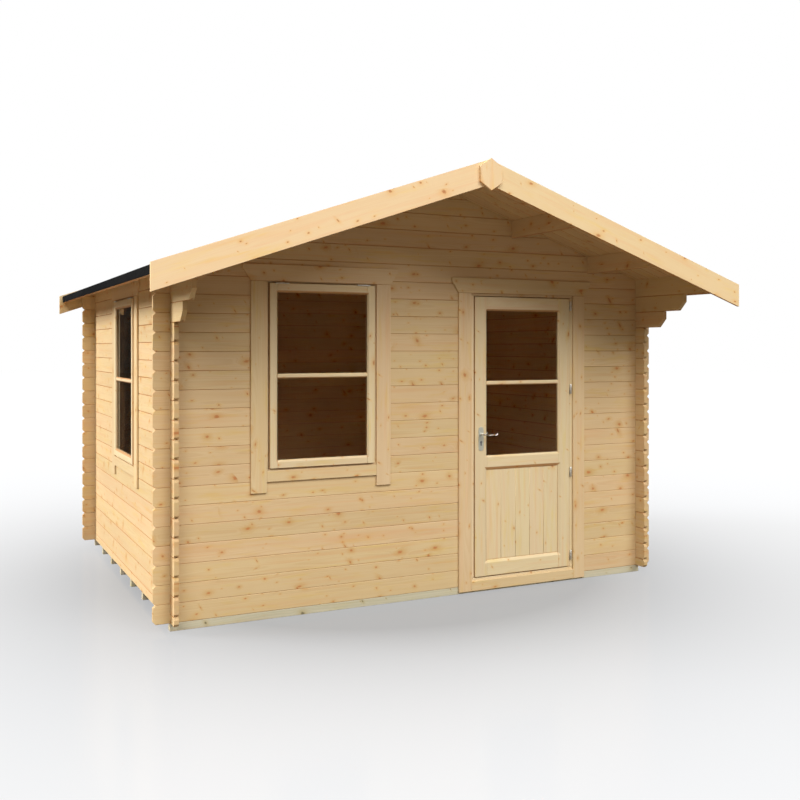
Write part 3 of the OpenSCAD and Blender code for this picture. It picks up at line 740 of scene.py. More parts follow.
@dataclass(frozen=True)
class FeltFinish(Finish):
    """Mineral roofing felt."""

    name: str = "mineral felt"
    slot: str = "roofing_felt"
    dark: tuple = (0.0042, 0.0042, 0.0042)
    pale: tuple = (0.034, 0.034, 0.035)
    worn: tuple = (0.52, 0.53, 0.57)
    fineness: float = 520.0
    sparkle: float = 0.55
    bump: float = 0.7
    relief: float = 0.0009
    shine: float = 0.04

    def fill(self, graph: Graph, shader: bpy.types.Node) -> None:
        """Feeds the shader with the granule group.

        Args:
            graph: the material's graph.
            shader: its Principled shader.
        """
        apply_group(graph, shader, "granules", {
            "Place": graph.place(), "Fineness": self.fineness, "Sparkle": self.sparkle,
            "Dark": self.dark, "Pale": self.pale, "Worn": self.worn}, self.bump, self.relief)
        shader.inputs["Specular IOR Level"].default_value = self.shine


@dataclass(frozen=True)
class MetalFinish(Finish):
    """Plated or satin metal."""

    base: tuple
    dull: tuple
    roughness: float
    bump: float = 0.06
    relief: float = 0.0002

    def fill(self, graph: Graph, shader: bpy.types.Node) -> None:
        """Feeds the shader with the scuff group.

        Args:
            graph: the material's graph.
            shader: its Principled shader.
        """
        apply_group(graph, shader, "scuffs", {
            "Place": graph.place(), "Roughness": self.roughness, "Base": self.base,
            "Dull": self.dull}, self.bump, self.relief)
        shader.inputs["Metallic"].default_value = 1.0


@dataclass(frozen=True)
class GlassFinish(Finish):
    """Clear float glass, with a faint smear."""

    name: str = "float glass"
    slot: str = "glass"
    clean: tuple = (0.985, 0.99, 0.985)
    smeared: tuple = (0.96, 0.97, 0.965)
    aslant: tuple = (0.42, 0.40, 0.38)
    smoothness: float = 0.004
    smear: float = 0.03
    smears: tuple = (7.0, 3.0, 0.55)
    smear_levels: tuple = (0.45, 0.8)
    slant_levels: tuple = (0.3, 0.7)
    bending: float = 1.15

    def fill(self, graph: Graph, shader: bpy.types.Node) -> None:
        """Feeds the shader of the panes.

        Args:
            graph: the material's graph.
            shader: its Principled shader.
        """
        smear = graph.noise(graph.place(), *self.smears)
        graph.feed(shader.inputs["Roughness"], graph.scaled(
            graph.step(smear, *self.smear_levels), self.smear, self.smoothness))
        clear = graph.mix(smear, self.clean, self.smeared)
        # painted shade: a pane seen aslant is tinted darker, which darkens the room seen through
        # it; real glass passes only a little less light at such a slant
        slant = graph.step(graph.add("LayerWeight", inputs={"Blend": 0.5}).outputs["Facing"],
                           *self.slant_levels)
        graph.feed(shader.inputs["Base Color"], graph.mix(slant, clear, self.aslant))
        shader.inputs["Transmission Weight"].default_value = 1.0
        shader.inputs["IOR"].default_value = self.bending


LOGS = Timber("spruce logs", "log_timber")
BOARDS = Timber("planed boards", "planed_timber", pale=(0.75, 0.565, 0.332),
                deep=(0.62, 0.40, 0.19), knot_share=0.55, ring_depth=0.2)
# painted light: the front bargeboards and the apex plate take a paler copy of the boards' colour,
# standing in for the fuller light that falls on them
LIT_BOARDS = Timber("bargeboards", "planed_timber", pale=(0.97, 0.73, 0.43),
                     deep=(0.90, 0.60, 0.32), knot_share=0.42, ring_depth=0.18, variety=0.4)
JOINERY = Timber("joinery pine", "joinery_timber", pale=(0.79, 0.643, 0.405),
                 deep=(0.69, 0.488, 0.27), knot_radius=0.0115, knot_share=0.45,
                 ring_depth=0.18, variety=0.6)
ROOF_WOOD = Timber("roof boards", "roof_timber", pale=(0.73, 0.52, 0.28), knot_share=0.6,
                   variety=0.3)
BEARER_WOOD = Timber("treated bearers", "treated_timber", pale=(0.61, 0.56, 0.41),
                     deep=(0.41, 0.39, 0.25), knot=(0.12, 0.10, 0.05), roughness=0.72,
                     bump=0.5)
FELT = FeltFinish()
ZINC = MetalFinish("zinc plate", "zinc_steel", (0.84, 0.83, 0.79), (0.66, 0.65, 0.61), 0.48)
NAILS = MetalFinish("clout nails", "zinc_steel", (0.36, 0.37, 0.38), (0.22, 0.22, 0.23), 0.5)
NICKEL = MetalFinish("satin nickel", "satin_metal", (0.72, 0.71, 0.69), (0.66, 0.65, 0.63),
                     0.22)
PLATE = MetalFinish("brushed plate", "satin_metal", (0.88, 0.88, 0.77), (0.79, 0.79, 0.68),
                    0.50)
GLASS = GlassFinish()


# ---------------------------------------------------------------- mesh helpers


def cad_mesh(node: str) -> bmesh.types.BMesh:
    """Copies a node's solids with their faces joined up again.

    Args:
        node: the CAD node.

    Returns:
        A new bmesh; the node's own mesh is left as it is.
    """
    bm = bmesh.new()
    bm.from_mesh(frame["nodes"][node].data)
    bmesh.ops.remove_doubles(bm, verts=bm.verts, dist=MERGE)
    bmesh.ops.dissolve_limit(bm, angle_limit=FLAT, verts=bm.verts, edges=bm.edges)
    bmesh.ops.recalc_face_normals(bm, faces=bm.faces)
    for face in bm.faces:
        face.smooth = False
    return bm


def islands(bm: bmesh.types.BMesh) -> list[list[bmesh.types.BMFace]]:
    """Lists the solids of a bmesh as groups of linked faces.

    Args:
        bm: the bmesh.

    Returns:
        One list of faces per solid, from the lowest, front left one on.
    """
    seen = set()
    found = []
    for start in bm.faces:
        if start in seen:
            continue
        seen.add(start)
        group, edge_of = [start], [start]
        while edge_of:
            for edge in edge_of.pop().edges:
                for other in edge.link_faces:
                    if other not in seen:
                        seen.add(other)
                        group.append(other)
                        edge_of.append(other)
        found.append(group)
    return sorted(found, key=middle_of)


def middle_of(group: Sequence[bmesh.types.BMFace]) -> tuple:
    """Measures the middle of a solid in whole millimetres, which puts the solids in order.

    Args:
        group: its faces.

    Returns:
        The middle's height, place from front to back and place from left to right.
    """
    corners = corners_of(group)
    middle = [math.fsum(v.co[i] for v in corners) / len(corners) for i in (2, 1, 0)]
    return tuple(round(value * 1000 + NUDGE) for value in middle)


def corners_of(group: Sequence[bmesh.types.BMFace]) -> list[bmesh.types.BMVert]:
    """Lists the corners of a group of faces, each once and in the same order each time."""
    return list(dict.fromkeys(v for f in group for v in f.verts))


def reach_of(group: Sequence[bmesh.types.BMFace]) -> tuple[Vector, Vector]:
    """Measures the box round a group of faces.

    Args:
        group: the faces.

    Returns:
        Its lowest and highest corner.
    """
    corners = [v.co for v in corners_of(group)]
    return (Vector([min(at[i] for at in corners) for i in range(3)]),
            Vector([max(at[i] for at in corners) for i in range(3)]))


def cuts_between(low: float, high: float, count: int) -> list[float]:
    """Shares a length out among boards of one width.

    Args:
        low: where the first board starts.
        high: where the last one ends.
        count: number of boards.

    Returns:
        Where one board meets the next.
    """
    return [low + (high - low) * i / count for i in range(1, count)]


def soften(bm: bmesh.types.BMesh, width: float, segments: int = 2) -> None:
    """Rounds the sharp edges of each solid on its own.

    Args:
        bm: the bmesh.
        width: width of the rounding in metres.
        segments: steps of the rounding.
    """
    if width <= 0:
        return
    for group in islands(bm):
        edges = list(dict.fromkeys(
            e for f in group for e in f.edges
            if len(e.link_faces) == 2 and e.calc_face_angle(0.0) > SHARP))
        rounded = bmesh.ops.bevel(bm, geom=edges, offset=width, segments=segments,
                                  profile=0.5, affect="EDGES", clamp_overlap=True,
                                  offset_type="OFFSET")
        for face in rounded["faces"]:
            face.smooth = True


def grain_axes(points: Sequence[Vector], run: Run) -> tuple[Vector, Vector, Vector]:
    """Finds the long, wide and thin directions of a board.

    Args:
        points: its corners.
        run: how its grain runs.

    Returns:
        Unit vectors along, across and through the board.
    """
    if run is Run.SLOPE:
        middle = sum(points, Vector()) / len(points)
        tilt = SLOPE if middle.x < 0 else -SLOPE
        axes = [Vector((math.cos(tilt), 0, math.sin(tilt))), BACKWARDS,
                Vector((-math.sin(tilt), 0, math.cos(tilt)))]
    else:
        axes = [RIGHTWARDS, BACKWARDS, UP]
    spans = []
    for axis in axes:
        reach = [p.dot(axis) for p in points]
        spans.append(max(reach) - min(reach))
    order = sorted(range(3), key=lambda i: -spans[i])
    return axes[order[0]], axes[order[1]], axes[order[2]]


def faces_room(face: bmesh.types.BMFace) -> bool:
    """Tells whether a face looks into the room of the cabin.

    Args:
        face: a face of a wall, a floor board or a roof board.

    Returns:
        True if the face lies on the room's side and looks to its middle.
    """
    at = face.calc_center_median()
    inside = ROOM[0].x < at.x < ROOM[1].x and ROOM[0].y < at.y < ROOM[1].y
    return inside and face.normal.dot(ROOM_MIDDLE - at) > 0


def split_at_room(bm: bmesh.types.BMesh) -> None:
    """Parts the faces of the walls where the room ends, so that each lies in it or out of it.

    Args:
        bm: the bmesh.
    """
    for corner, way in ((ROOM[0], -1), (ROOM[1], 1)):
        for axis in (RIGHTWARDS, BACKWARDS):
            bmesh.ops.bisect_plane(bm, geom=bm.verts[:] + bm.edges[:] + bm.faces[:],
                                   plane_co=corner, plane_no=axis * way, dist=SNAP)


def add_grain(bm: bmesh.types.BMesh, seed: str, run: Run = Run.LONGEST,
              edge_painted_shade: float = 0.0) -> None:
    """Gives each solid its own grain and tone, a mask of its ends, a mask of painted shade on its
    undersides, joints and narrow edges, and a mask of painted light on its faces inside the room.

    Args:
        bm: the bmesh.
        seed: makes the draws the same each time.
        run: how the grain runs.
        edge_painted_shade: how far the narrow edges get the painted shade of the joints.
    """
    grain = bm.verts.layers.float_vector.new("grain")
    tone = bm.verts.layers.float.new("tone")
    end, seam, fresh = [bm.faces.layers.float.new(mask) for mask in ("end", "seam", "fresh")]
    for number, group in enumerate(islands(bm)):
        draw = random.Random(f"{seed} {number}")
        verts = corners_of(group)
        long, wide, thin = grain_axes([v.co for v in verts], run)
        low, high = reach_of(group)
        middle = (low + high) / 2
        # where the board lay in the trunk: its start, and its pith beside and behind it
        start = draw.uniform(0, TRUNK)
        pith = draw.uniform(-PITH_ASIDE, PITH_ASIDE)
        depth = draw.choice((-1, 1)) * draw.uniform(*PITH_BEHIND)
        shade = draw.random()
        for vert in verts:
            at = vert.co - middle
            vert[grain] = Vector((at.dot(long) + start, at.dot(wide) + pith,
                                  at.dot(thin) + depth))
            vert[tone] = shade
        for face in group:
            normal = face.normal
            face[end] = 1.0 if abs(normal.dot(long)) > CROSSCUT else 0.0
            worked = abs(normal.dot(thin)) < BROAD and not face[end]
            narrow = abs(normal.dot(thin)) < NARROW and not face[end]
            # painted shade: faces under a log, sloped faces under the roof and narrow edges get
            # the mask that darkens and reddens them
            under_log = normal.z < -0.2
            under_roof = abs(normal.x) > 0.1 and normal.z > 0.3
            face[seam] = max(1.0 if worked and (under_log or under_roof) else 0.0,
                             edge_painted_shade if narrow else 0.0)
            # painted light: faces inside the room get the mask that lightens them
            face[fresh] = 1.0 if faces_room(face) else 0.0


def link_object(name: str, data: Optional[bpy.types.ID]) -> bpy.types.Object:
    """Makes an object and puts it into the scene.

    Args:
        name: the object's name.
        data: its mesh, light or camera.

    Returns:
        The new object.
    """
    made = bpy.data.objects.new(name, data)
    bpy.context.scene.collection.objects.link(made)
    return made


def finish_mesh(bm: bmesh.types.BMesh, name: str, finish: Finish, body: str,
                nodes: Sequence[str] = (), smooth: float = 35.0) -> bpy.types.Object:
    """Turns a bmesh into a piece that rides on a body.

    Args:
        bm: the bmesh, which is freed.
        name: the piece's name.
        finish: its finish.
        body: the body that it rides on.
        nodes: CAD nodes that it stands for.
        smooth: edges under this angle in degrees are shaded smooth.

    Returns:
        The new object.
    """
    for edge in bm.edges:
        edge.smooth = edge.calc_face_angle(0.0) < math.radians(smooth)
    mesh = bpy.data.meshes.new(name)
    bm.to_mesh(mesh)
    bm.free()
    mesh.materials.append(finish.material())
    piece = link_object(name, mesh)
    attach(piece, body)
    if nodes:
        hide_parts(*nodes)
    log.info("%s: %d faces", name, len(mesh.polygons))
    return piece


def join(parts: Sequence[bmesh.types.BMesh]) -> bmesh.types.BMesh:
    """Joins several bmeshes into one and frees them.

    Args:
        parts: the bmeshes.

    Returns:
        One bmesh.
    """
    whole = bmesh.new()
    for part in parts:
        mesh = bpy.data.meshes.new("part")
        part.to_mesh(mesh)
        part.free()
        whole.from_mesh(mesh)
        bpy.data.meshes.remove(mesh)
    return whole


def saw(bm: bmesh.types.BMesh, normal: Vector, cuts: Sequence[float]) -> bmesh.types.BMesh:
    """Cuts a slab into boards with parallel planes.

    Args:
        bm: one closed slab, which is freed.
        normal: unit vector across the boards.
        cuts: where the planes lie along it.

    Returns:
        The boards as one bmesh.
    """
    limits = [-FAR, *cuts, FAR]
    boards = []
    for low, high in zip(limits, limits[1:]):
        board = bm.copy()
        for plane, outward in ((low + KERF / 2, -normal), (high - KERF / 2, normal)):
            cut = bmesh.ops.bisect_plane(
                board, geom=board.verts[:] + board.edges[:] + board.faces[:],
                plane_co=normal * plane, plane_no=outward, clear_outer=True, dist=SNAP)
            edges = [g for g in cut["geom_cut"] if isinstance(g, bmesh.types.BMEdge)]
            if edges:
                bmesh.ops.holes_fill(board, edges=edges, sides=0)
        bmesh.ops.recalc_face_normals(board, faces=board.faces)
        boards.append(board)
    bm.free()
    return join(boards)


def box_mesh(low: Sequence[float], high: Sequence[float]) -> bmesh.types.BMesh:
    """Makes a box between two corners.

    Args:
        low: lowest corner.
        high: highest corner.

    Returns:
        The box as a bmesh.
    """
    bm = bmesh.new()
    size = Vector(high) - Vector(low)
    middle = (Vector(high) + Vector(low)) / 2
    bmesh.ops.create_cube(bm, size=1.0, matrix=Matrix.Translation(middle)
                          @ Matrix.Diagonal((*size, 1.0)))
    return bm


def shade_smooth(bm: bmesh.types.BMesh) -> bmesh.types.BMesh:
    """Turns the faces of a rounded solid outwards and shades them smooth.

    Args:
        bm: the solid.

    Returns:
        The same bmesh.
    """
    bmesh.ops.recalc_face_normals(bm, faces=bm.faces)
    for face in bm.faces:
        face.smooth = True
    return bm


def skin(bm: bmesh.types.BMesh, rings: Sequence[list]) -> bmesh.types.BMesh:
    """Closes a row of rings of points to a solid.

    Args:
        bm: the bmesh that holds the points.
        rings: the rings, each with as many points as the next.

    Returns:
        The same bmesh, with its faces.
    """
    steps = len(rings[0])
    for lower, upper in zip(rings, rings[1:]):
        for i in range(steps):
            j = (i + 1) % steps
            bm.faces.new((lower[i], lower[j], upper[j], upper[i]))
    bm.faces.new(list(reversed(rings[0])))
    bm.faces.new(rings[-1])
    return shade_smooth(bm)


def lathe(profile: Sequence[tuple], start: Vector, axis: Vector,
          steps: int = 28) -> bmesh.types.BMesh:
    """Turns a profile about an axis.

    Args:
        profile: radius and height of each point, from the foot to the top.
        start: where height 0 lies.
        axis: unit vector up the axis.
        steps: sides of the turned piece.

    Returns:
        A closed bmesh.
    """
    bm = bmesh.new()
    aside = axis.orthogonal().normalized()
    other = axis.cross(aside)
    rings = []
    for radius, height in profile:
        ring = []
        for i in range(steps):
            turn = 2 * math.pi * i / steps
            out = aside * math.cos(turn) + other * math.sin(turn)
            ring.append(bm.verts.new(start + axis * height + out * radius))
        rings.append(ring)
    return skin(bm, rings)


def curve_points(knots: Sequence[Vector], per_span: int) -> list[Vector]:
    """Runs a smooth curve through points.

    Args:
        knots: the points.
        per_span: steps between one point and the next.

    Returns:
        The points of the curve.
    """
    ends = [knots[0] * 2 - knots[1], *knots, knots[-1] * 2 - knots[-2]]
    path = []
    for a, b, c, d in zip(ends, ends[1:], ends[2:], ends[3:]):
        for i in range(per_span):
            t = i / per_span
            path.append(0.5 * (2 * b + (c - a) * t + (2 * a - 5 * b + 4 * c - d) * t ** 2
                               + (3 * b - a - 3 * c + d) * t ** 3))
    path.append(knots[-1].copy())
    return path


def sweep(path: Sequence[Vector], sizes: Sequence[tuple], up: Vector,
          steps: int = 20) -> bmesh.types.BMesh:
    """Runs an oval along a path.

    Args:
        path: points of the path.
        sizes: half width and half height of the oval at each point.
        up: direction of its height.
        steps: sides of the oval.

    Returns:
        A closed bmesh with rounded ends.
    """
    bm = bmesh.new()
    rings = []
    for i, point in enumerate(path):
        ahead = (path[min(i + 1, len(path) - 1)] - path[max(i - 1, 0)]).normalized()
        side = ahead.cross(up).normalized()
        over = side.cross(ahead).normalized()
        wide, high = sizes[i]
        rings.append([bm.verts.new(point + side * wide * math.cos(2 * math.pi * k / steps)
                                   + over * high * math.sin(2 * math.pi * k / steps))
                      for k in range(steps)])
    return skin(bm, rings)


def turned_head(at: Vector, out: Vector, radius: float, profile: Sequence[tuple],
                steps: int) -> bmesh.types.BMesh:
    """Makes the low head of a screw or a nail.

    Args:
        at: its middle on the surface.
        out: unit vector out of the surface.
        radius: radius of the head.
        profile: share of the radius and height of each point.
        steps: sides of the head.

    Returns:
        The head as a bmesh.
    """
    return lathe([(radius * share, height) for share, height in profile], at, out, steps)


def knuckle(at: Vector, axis: Vector, radius: float, span: tuple,
            ends: Sequence[tuple], steps: int = 28) -> bmesh.types.BMesh:
    """Turns a hinge's knuckle with worn ends.

    Args:
        at: where the axis starts.
        axis: unit vector along the axis.
        radius: its radius.
        span: where it starts and ends along the axis.
        ends: for the start and the end, each step's share of the radius and way inwards.
        steps: sides of the turned piece.

    Returns:
        The knuckle as a bmesh.
    """
    foot = [(radius * share, span[0] + inwards) for share, inwards in ends[0]]
    head = [(radius * share, span[1] - inwards) for share, inwards in reversed(ends[1])]
    return lathe(foot + head, at, axis, steps)


def slope_angle() -> float:
    """Measures the slope of the roof on the upper face of its boards.

    Returns:
        The angle in radians.
    """
    edge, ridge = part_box("roof_boards_left")
    corners = [v.co for v in frame["nodes"]["roof_boards_left"].data.vertices]
    top = max(corners, key=lambda at: (round(at.x, 4), at.z)).z
    rim = max(at.z for at in corners if abs(at.x - edge.x) < 0.001)
    return math.atan2(top - rim, ridge.x - edge.x)


def room_box(margin: float = 0.02) -> tuple[Vector, Vector]:
    """Measures the room over the floor.

    Args:
        margin: how far it reaches into its walls, to just behind their outer faces.

    Returns:
        Its lowest and highest corner.
    """
    low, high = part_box("floor_boards")
    spread = Vector((margin, margin, 0.0))
    return low - spread, high + spread


SLOPE = slope_angle()
ROOM = room_box()
ROOM_MIDDLE = Vector((0, 0, 1.2))


# ---------------------------------------------------------------- sub-assemblies


@dataclass
class Carpentry:
    """Solids of the frame that are dressed as they are: softened, grained and finished."""

    body: str = "cabin"
    arris: float = 0.0012

    def dress(self, node: str, finish: Timber, arris: Optional[float] = None,
              run: Run = Run.LONGEST, edge_painted_shade: float = 0.0) -> bpy.types.Object:
        """Dresses one node's solids.

        Args:
            node: the CAD node, whose name the piece keeps with a suffix.
            finish: its finish.
            arris: width of its rounded edges, or None for the usual one.
            run: how its grain runs.
            edge_painted_shade: how far its narrow edges get the painted shade of the joints.

        Returns:
            The new piece.
        """
        bm = cad_mesh(node)
        soften(bm, self.arris if arris is None else arris)
        split_at_room(bm)
        add_grain(bm, node, run, edge_painted_shade)
        return finish_mesh(bm, node + "_timber", finish, self.body, [node])


@dataclass
class LogWalls(Carpentry):
    """The interlocking logs of the walls and gables, and the wall plates."""

    arris: float = 0.0007
    nodes: tuple = ("front_wall_lower", "front_wall_left", "front_wall_middle",
                    "front_wall_right", "front_gable", "back_wall", "back_gable",
                    "left_wall_lower", "left_wall_front", "left_wall_back", "right_wall",
                    "wall_plates")

    def build(self) -> None:
        """Dresses every wall."""
        for node in self.nodes:
            self.dress(node, LOGS)


@dataclass
class Base(Carpentry):
    """The bearers and the floor."""

    board_width: float = 0.114
    joint: float = 0.0016
    bearer_arris: float = 0.002

    def build(self) -> None:
        """Dresses the bearers and lays the floor boards."""
        self.dress("bearers", BEARER_WOOD, self.bearer_arris)
        low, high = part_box("floor_boards")
        count = round((high.x - low.x) / self.board_width)
        boards = saw(box_mesh(low, high), RIGHTWARDS, cuts_between(low.x, high.x, count))
        soften(boards, self.joint)
        add_grain(boards, "floor")
        finish_mesh(boards, "floor_boards_laid", LOGS, self.body, ["floor_boards"])


@dataclass
class Roof(Carpentry):
    """Roof boards, battens, purlins, bargeboards and the plate over their joint."""

    board_width: float = 0.114
    joint: float = 0.0022
    batten_arris: float = 0.001
    edge_arris: float = 0.002
    plate_arris: float = 0.0025

    def boards(self, side: Side) -> None:
        """Lays the tongued boards of one slope.

        Args:
            side: which slope.
        """
        node = f"roof_boards_{side.name.lower()}"
        low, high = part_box(node)
        count = round((high.y - low.y) / self.board_width)
        boards = saw(cad_mesh(node), BACKWARDS, cuts_between(low.y, high.y, count))
        soften(boards, self.joint, 1)
        split_at_room(boards)
        add_grain(boards, node, Run.SLOPE)
        finish_mesh(boards, node + "_laid", ROOF_WOOD, self.body, [node])

    def build(self) -> None:
        """Builds both slopes and what carries and edges them."""
        for side in Side:
            self.boards(side)
        self.dress("eaves_battens", ROOF_WOOD, self.batten_arris)
        self.dress("purlins", BOARDS, self.edge_arris)
        self.dress("front_bargeboards", LIT_BOARDS, self.edge_arris, Run.SLOPE)
        self.dress("rear_bargeboards", BOARDS, self.edge_arris, Run.SLOPE)
        self.dress("apex_plate", LIT_BOARDS, self.plate_arris)


@dataclass
class FeltRoof:
    """Strips of mineral felt, each lapped over the one below it and nailed.

    The turn gives points inwards from the edge of the roof and up from it. The upper steps
    are shares of the way to the ridge, with the lift off the slope in sheets, and the cap
    steps are shares of half the ridge strip. The nail profile gives shares of the radius.
    """

    body: str = "cabin"
    roll: float = 1.0
    lap: float = 0.08
    ridge_width: float = 0.5
    sheet: float = 0.0024
    wave: float = 0.0007
    rows: int = 48
    hem: float = 0.0005
    turn: tuple = ((0.0, -0.008), (0.0016, -0.0024), (0.006, 0.0014))
    flat_steps: tuple = (0.02, 0.25, 0.5, 0.75)
    upper_steps: tuple = ((0.0, 1.0), (0.1, 1.0), (0.35, 0.75), (0.6, 0.75), (0.85, 0.75),
                          (0.999, 0.75))
    cap_steps: tuple = (-1.0, -0.6, -0.25, -0.06, -0.02, 0.0, 0.02, 0.06, 0.25, 0.6, 1.0)
    cap_lift: float = 1.9
    crease: float = 0.02
    crease_depth: float = 0.0022
    nail_pitch: float = 0.15
    nail_radius: float = 0.0055
    nail_profile: tuple = ((1.0, -0.0006), (1.0, 0.0003), (0.7, 0.0008))
    nail_margin: float = 0.03
    end_margin: float = 0.022
    end_lift: float = 0.7
    lap_margin: float = 0.025

    def sheet_mesh(self, outline: Sequence[Vector], y0: float, y1: float,
                   seed: int) -> bmesh.types.BMesh:
        """Draws one strip along the roof from its outline across it.

        Args:
            outline: points of its upper face, from the lower edge to the upper one or from
                the left to the right.
            y0: front end.
            y1: rear end.
            seed: moves its small waves.

        Returns:
            The strip as a closed bmesh.
        """
        bm = bmesh.new()
        last = len(outline) - 1
        outwards = 1 if outline[-1].x > outline[0].x else -1
        tops, feet = [], []
        for j in range(self.rows + 1):
            y = y0 + (y1 - y0) * j / self.rows
            top_row, foot_row = [], []
            for i, point in enumerate(outline):
                ahead = outline[min(i + 1, last)] - outline[max(i - 1, 0)]
                out = Vector((-ahead.z, 0, ahead.x)).normalized() * outwards
                swell = noise.noise(Vector((point.x * 3, y * 2.2, seed * 7.7))) * self.wave
                at = Vector((point.x, y, point.z)) + out * (swell - self.wave)
                top_row.append(bm.verts.new(at))
                foot_row.append(bm.verts.new(at - out * self.sheet))
            tops.append(top_row)
            feet.append(foot_row)
        for j in range(self.rows):
            for i in range(last):
                for grid in (tops, feet):
                    bm.faces.new((grid[j][i], grid[j][i + 1], grid[j + 1][i + 1],
                                  grid[j + 1][i]))
            for i in (0, last):
                bm.faces.new((tops[j][i], tops[j + 1][i], feet[j + 1][i], feet[j][i]))
        for i in range(last):
            for j in (0, self.rows):
                bm.faces.new((tops[j][i], tops[j][i + 1], feet[j][i + 1], feet[j][i]))
        return shade_smooth(bm)

    def nail_row(self, y0: float, y1: float) -> list[float]:
        """Shares nails out along a strip.

        Args:
            y0: front end of the strip.
            y1: its rear end.

        Returns:
            Where the nails go along the roof.
        """
        first, last = y0 + self.nail_margin, y1 - self.nail_margin
        count = int((last - first) / self.nail_pitch)
        return [first + (last - first) * i / count for i in range(count + 1)]

    def nails(self, places: Sequence[tuple[Vector, Vector]]) -> bmesh.types.BMesh:
        """Makes the broad heads of the clout nails.

        Args:
            places: where each head sits and its way out of the roof.

        Returns:
            The heads as one bmesh.
        """
        return join([turned_head(at, out, self.nail_radius, self.nail_profile, 10)
                     for at, out in places])

    def slope(self, side: Side) -> None:
        """Covers one slope.

        Args:
            side: which slope.
        """
        sign = side.value
        node = f"felt_{side.name.lower()}"
        low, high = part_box(node)
        edge = max(abs(low.x), abs(high.x))
        edge_z = high.z - edge * math.tan(SLOPE)
        along = Vector((sign * math.cos(SLOPE), 0, -math.sin(SLOPE)))
        out = Vector((sign * math.sin(SLOPE), 0, math.cos(SLOPE)))
        ridge = Vector((0, 0, high.z))
        length = edge / math.cos(SLOPE)

        def on_slope(distance: float, lift: float) -> Vector:
            """Gives the point at a distance below the ridge, lifted off the slope."""
            return ridge + along * distance + out * lift

        # the eaves strip turns down over the edge of the roof
        turned = [Vector((sign * edge, 0, low.z + self.hem))]
        turned += [Vector((sign * (edge - inwards), 0, edge_z + rise))
                   for inwards, rise in self.turn]
        flat = [on_slope(length - step, 0.0) for step in (*self.flat_steps, self.roll)]
        # the upper strip laps over it and stops at the ridge
        start = length - self.roll + self.lap
        upper = [on_slope(start * (1 - t), self.sheet * lift) for t, lift in self.upper_steps]
        strips = [self.sheet_mesh(turned + flat, low.y, high.y, 1),
                  self.sheet_mesh(upper, low.y, high.y, 2)]
        at = on_slope(start - self.lap_margin, self.sheet)
        heads = [(Vector((at.x, y, at.z)), out) for y in self.nail_row(low.y, high.y)]
        for end in (low.y + self.end_margin, high.y - self.end_margin):
            for i in range(1, int(length / self.nail_pitch)):
                at = on_slope(i * self.nail_pitch, self.sheet * self.end_lift)
                heads.append((Vector((at.x, end, at.z)), out))
        finish_mesh(join(strips), node + "_strips", FELT, self.body, [node])
        finish_mesh(self.nails(heads), node + "_nails", NAILS, self.body)

    def cap(self) -> None:
        """Lays the strip over the ridge."""
        low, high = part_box("felt_left")
        half = self.ridge_width / 2
        lift = self.sheet * self.cap_lift / math.cos(SLOPE)

        def over_ridge(x: float) -> float:
            """Gives the height of the strip's face at a place across the ridge."""
            return high.z - abs(x) * math.tan(SLOPE) + lift

        outline = []
        for t in self.cap_steps:
            rounding = self.crease_depth * math.exp(-(t * half / self.crease) ** 2)
            outline.append(Vector((t * half, 0, over_ridge(t * half) - rounding)))
        finish_mesh(self.sheet_mesh(outline, low.y, high.y, 5), "felt_ridge_strip", FELT,
                    self.body)
        heads = []
        for side in Side:
            out = Vector((side.value * math.sin(SLOPE), 0, math.cos(SLOPE)))
            x = side.value * (half - self.lap_margin)
            heads += [(Vector((x, y, over_ridge(x))), out)
                      for y in self.nail_row(low.y, high.y)]
        finish_mesh(self.nails(heads), "felt_ridge_nails", NAILS, self.body)

    def build(self) -> None:
        """Covers both slopes and the ridge."""
        for side in Side:
            self.slope(side)
        self.cap()


@dataclass
class Joinery(Carpentry):
    """What the door and the windows share: panes, trim boards and rounded hinges."""

    frame_arris: float = 0.0012
    trim_arris: float = 0.0018
    worn_end: tuple = ((0.8, 0.0), (1.0, 0.0008))

    def panes(self, node: str, name: str) -> None:
        """Dresses the panes of a leaf or sash.

        Args:
            node: the CAD node of the panes.
            name: start of the piece's name.
        """
        finish_mesh(cad_mesh(node), name + "_panes", GLASS, self.body, [node])


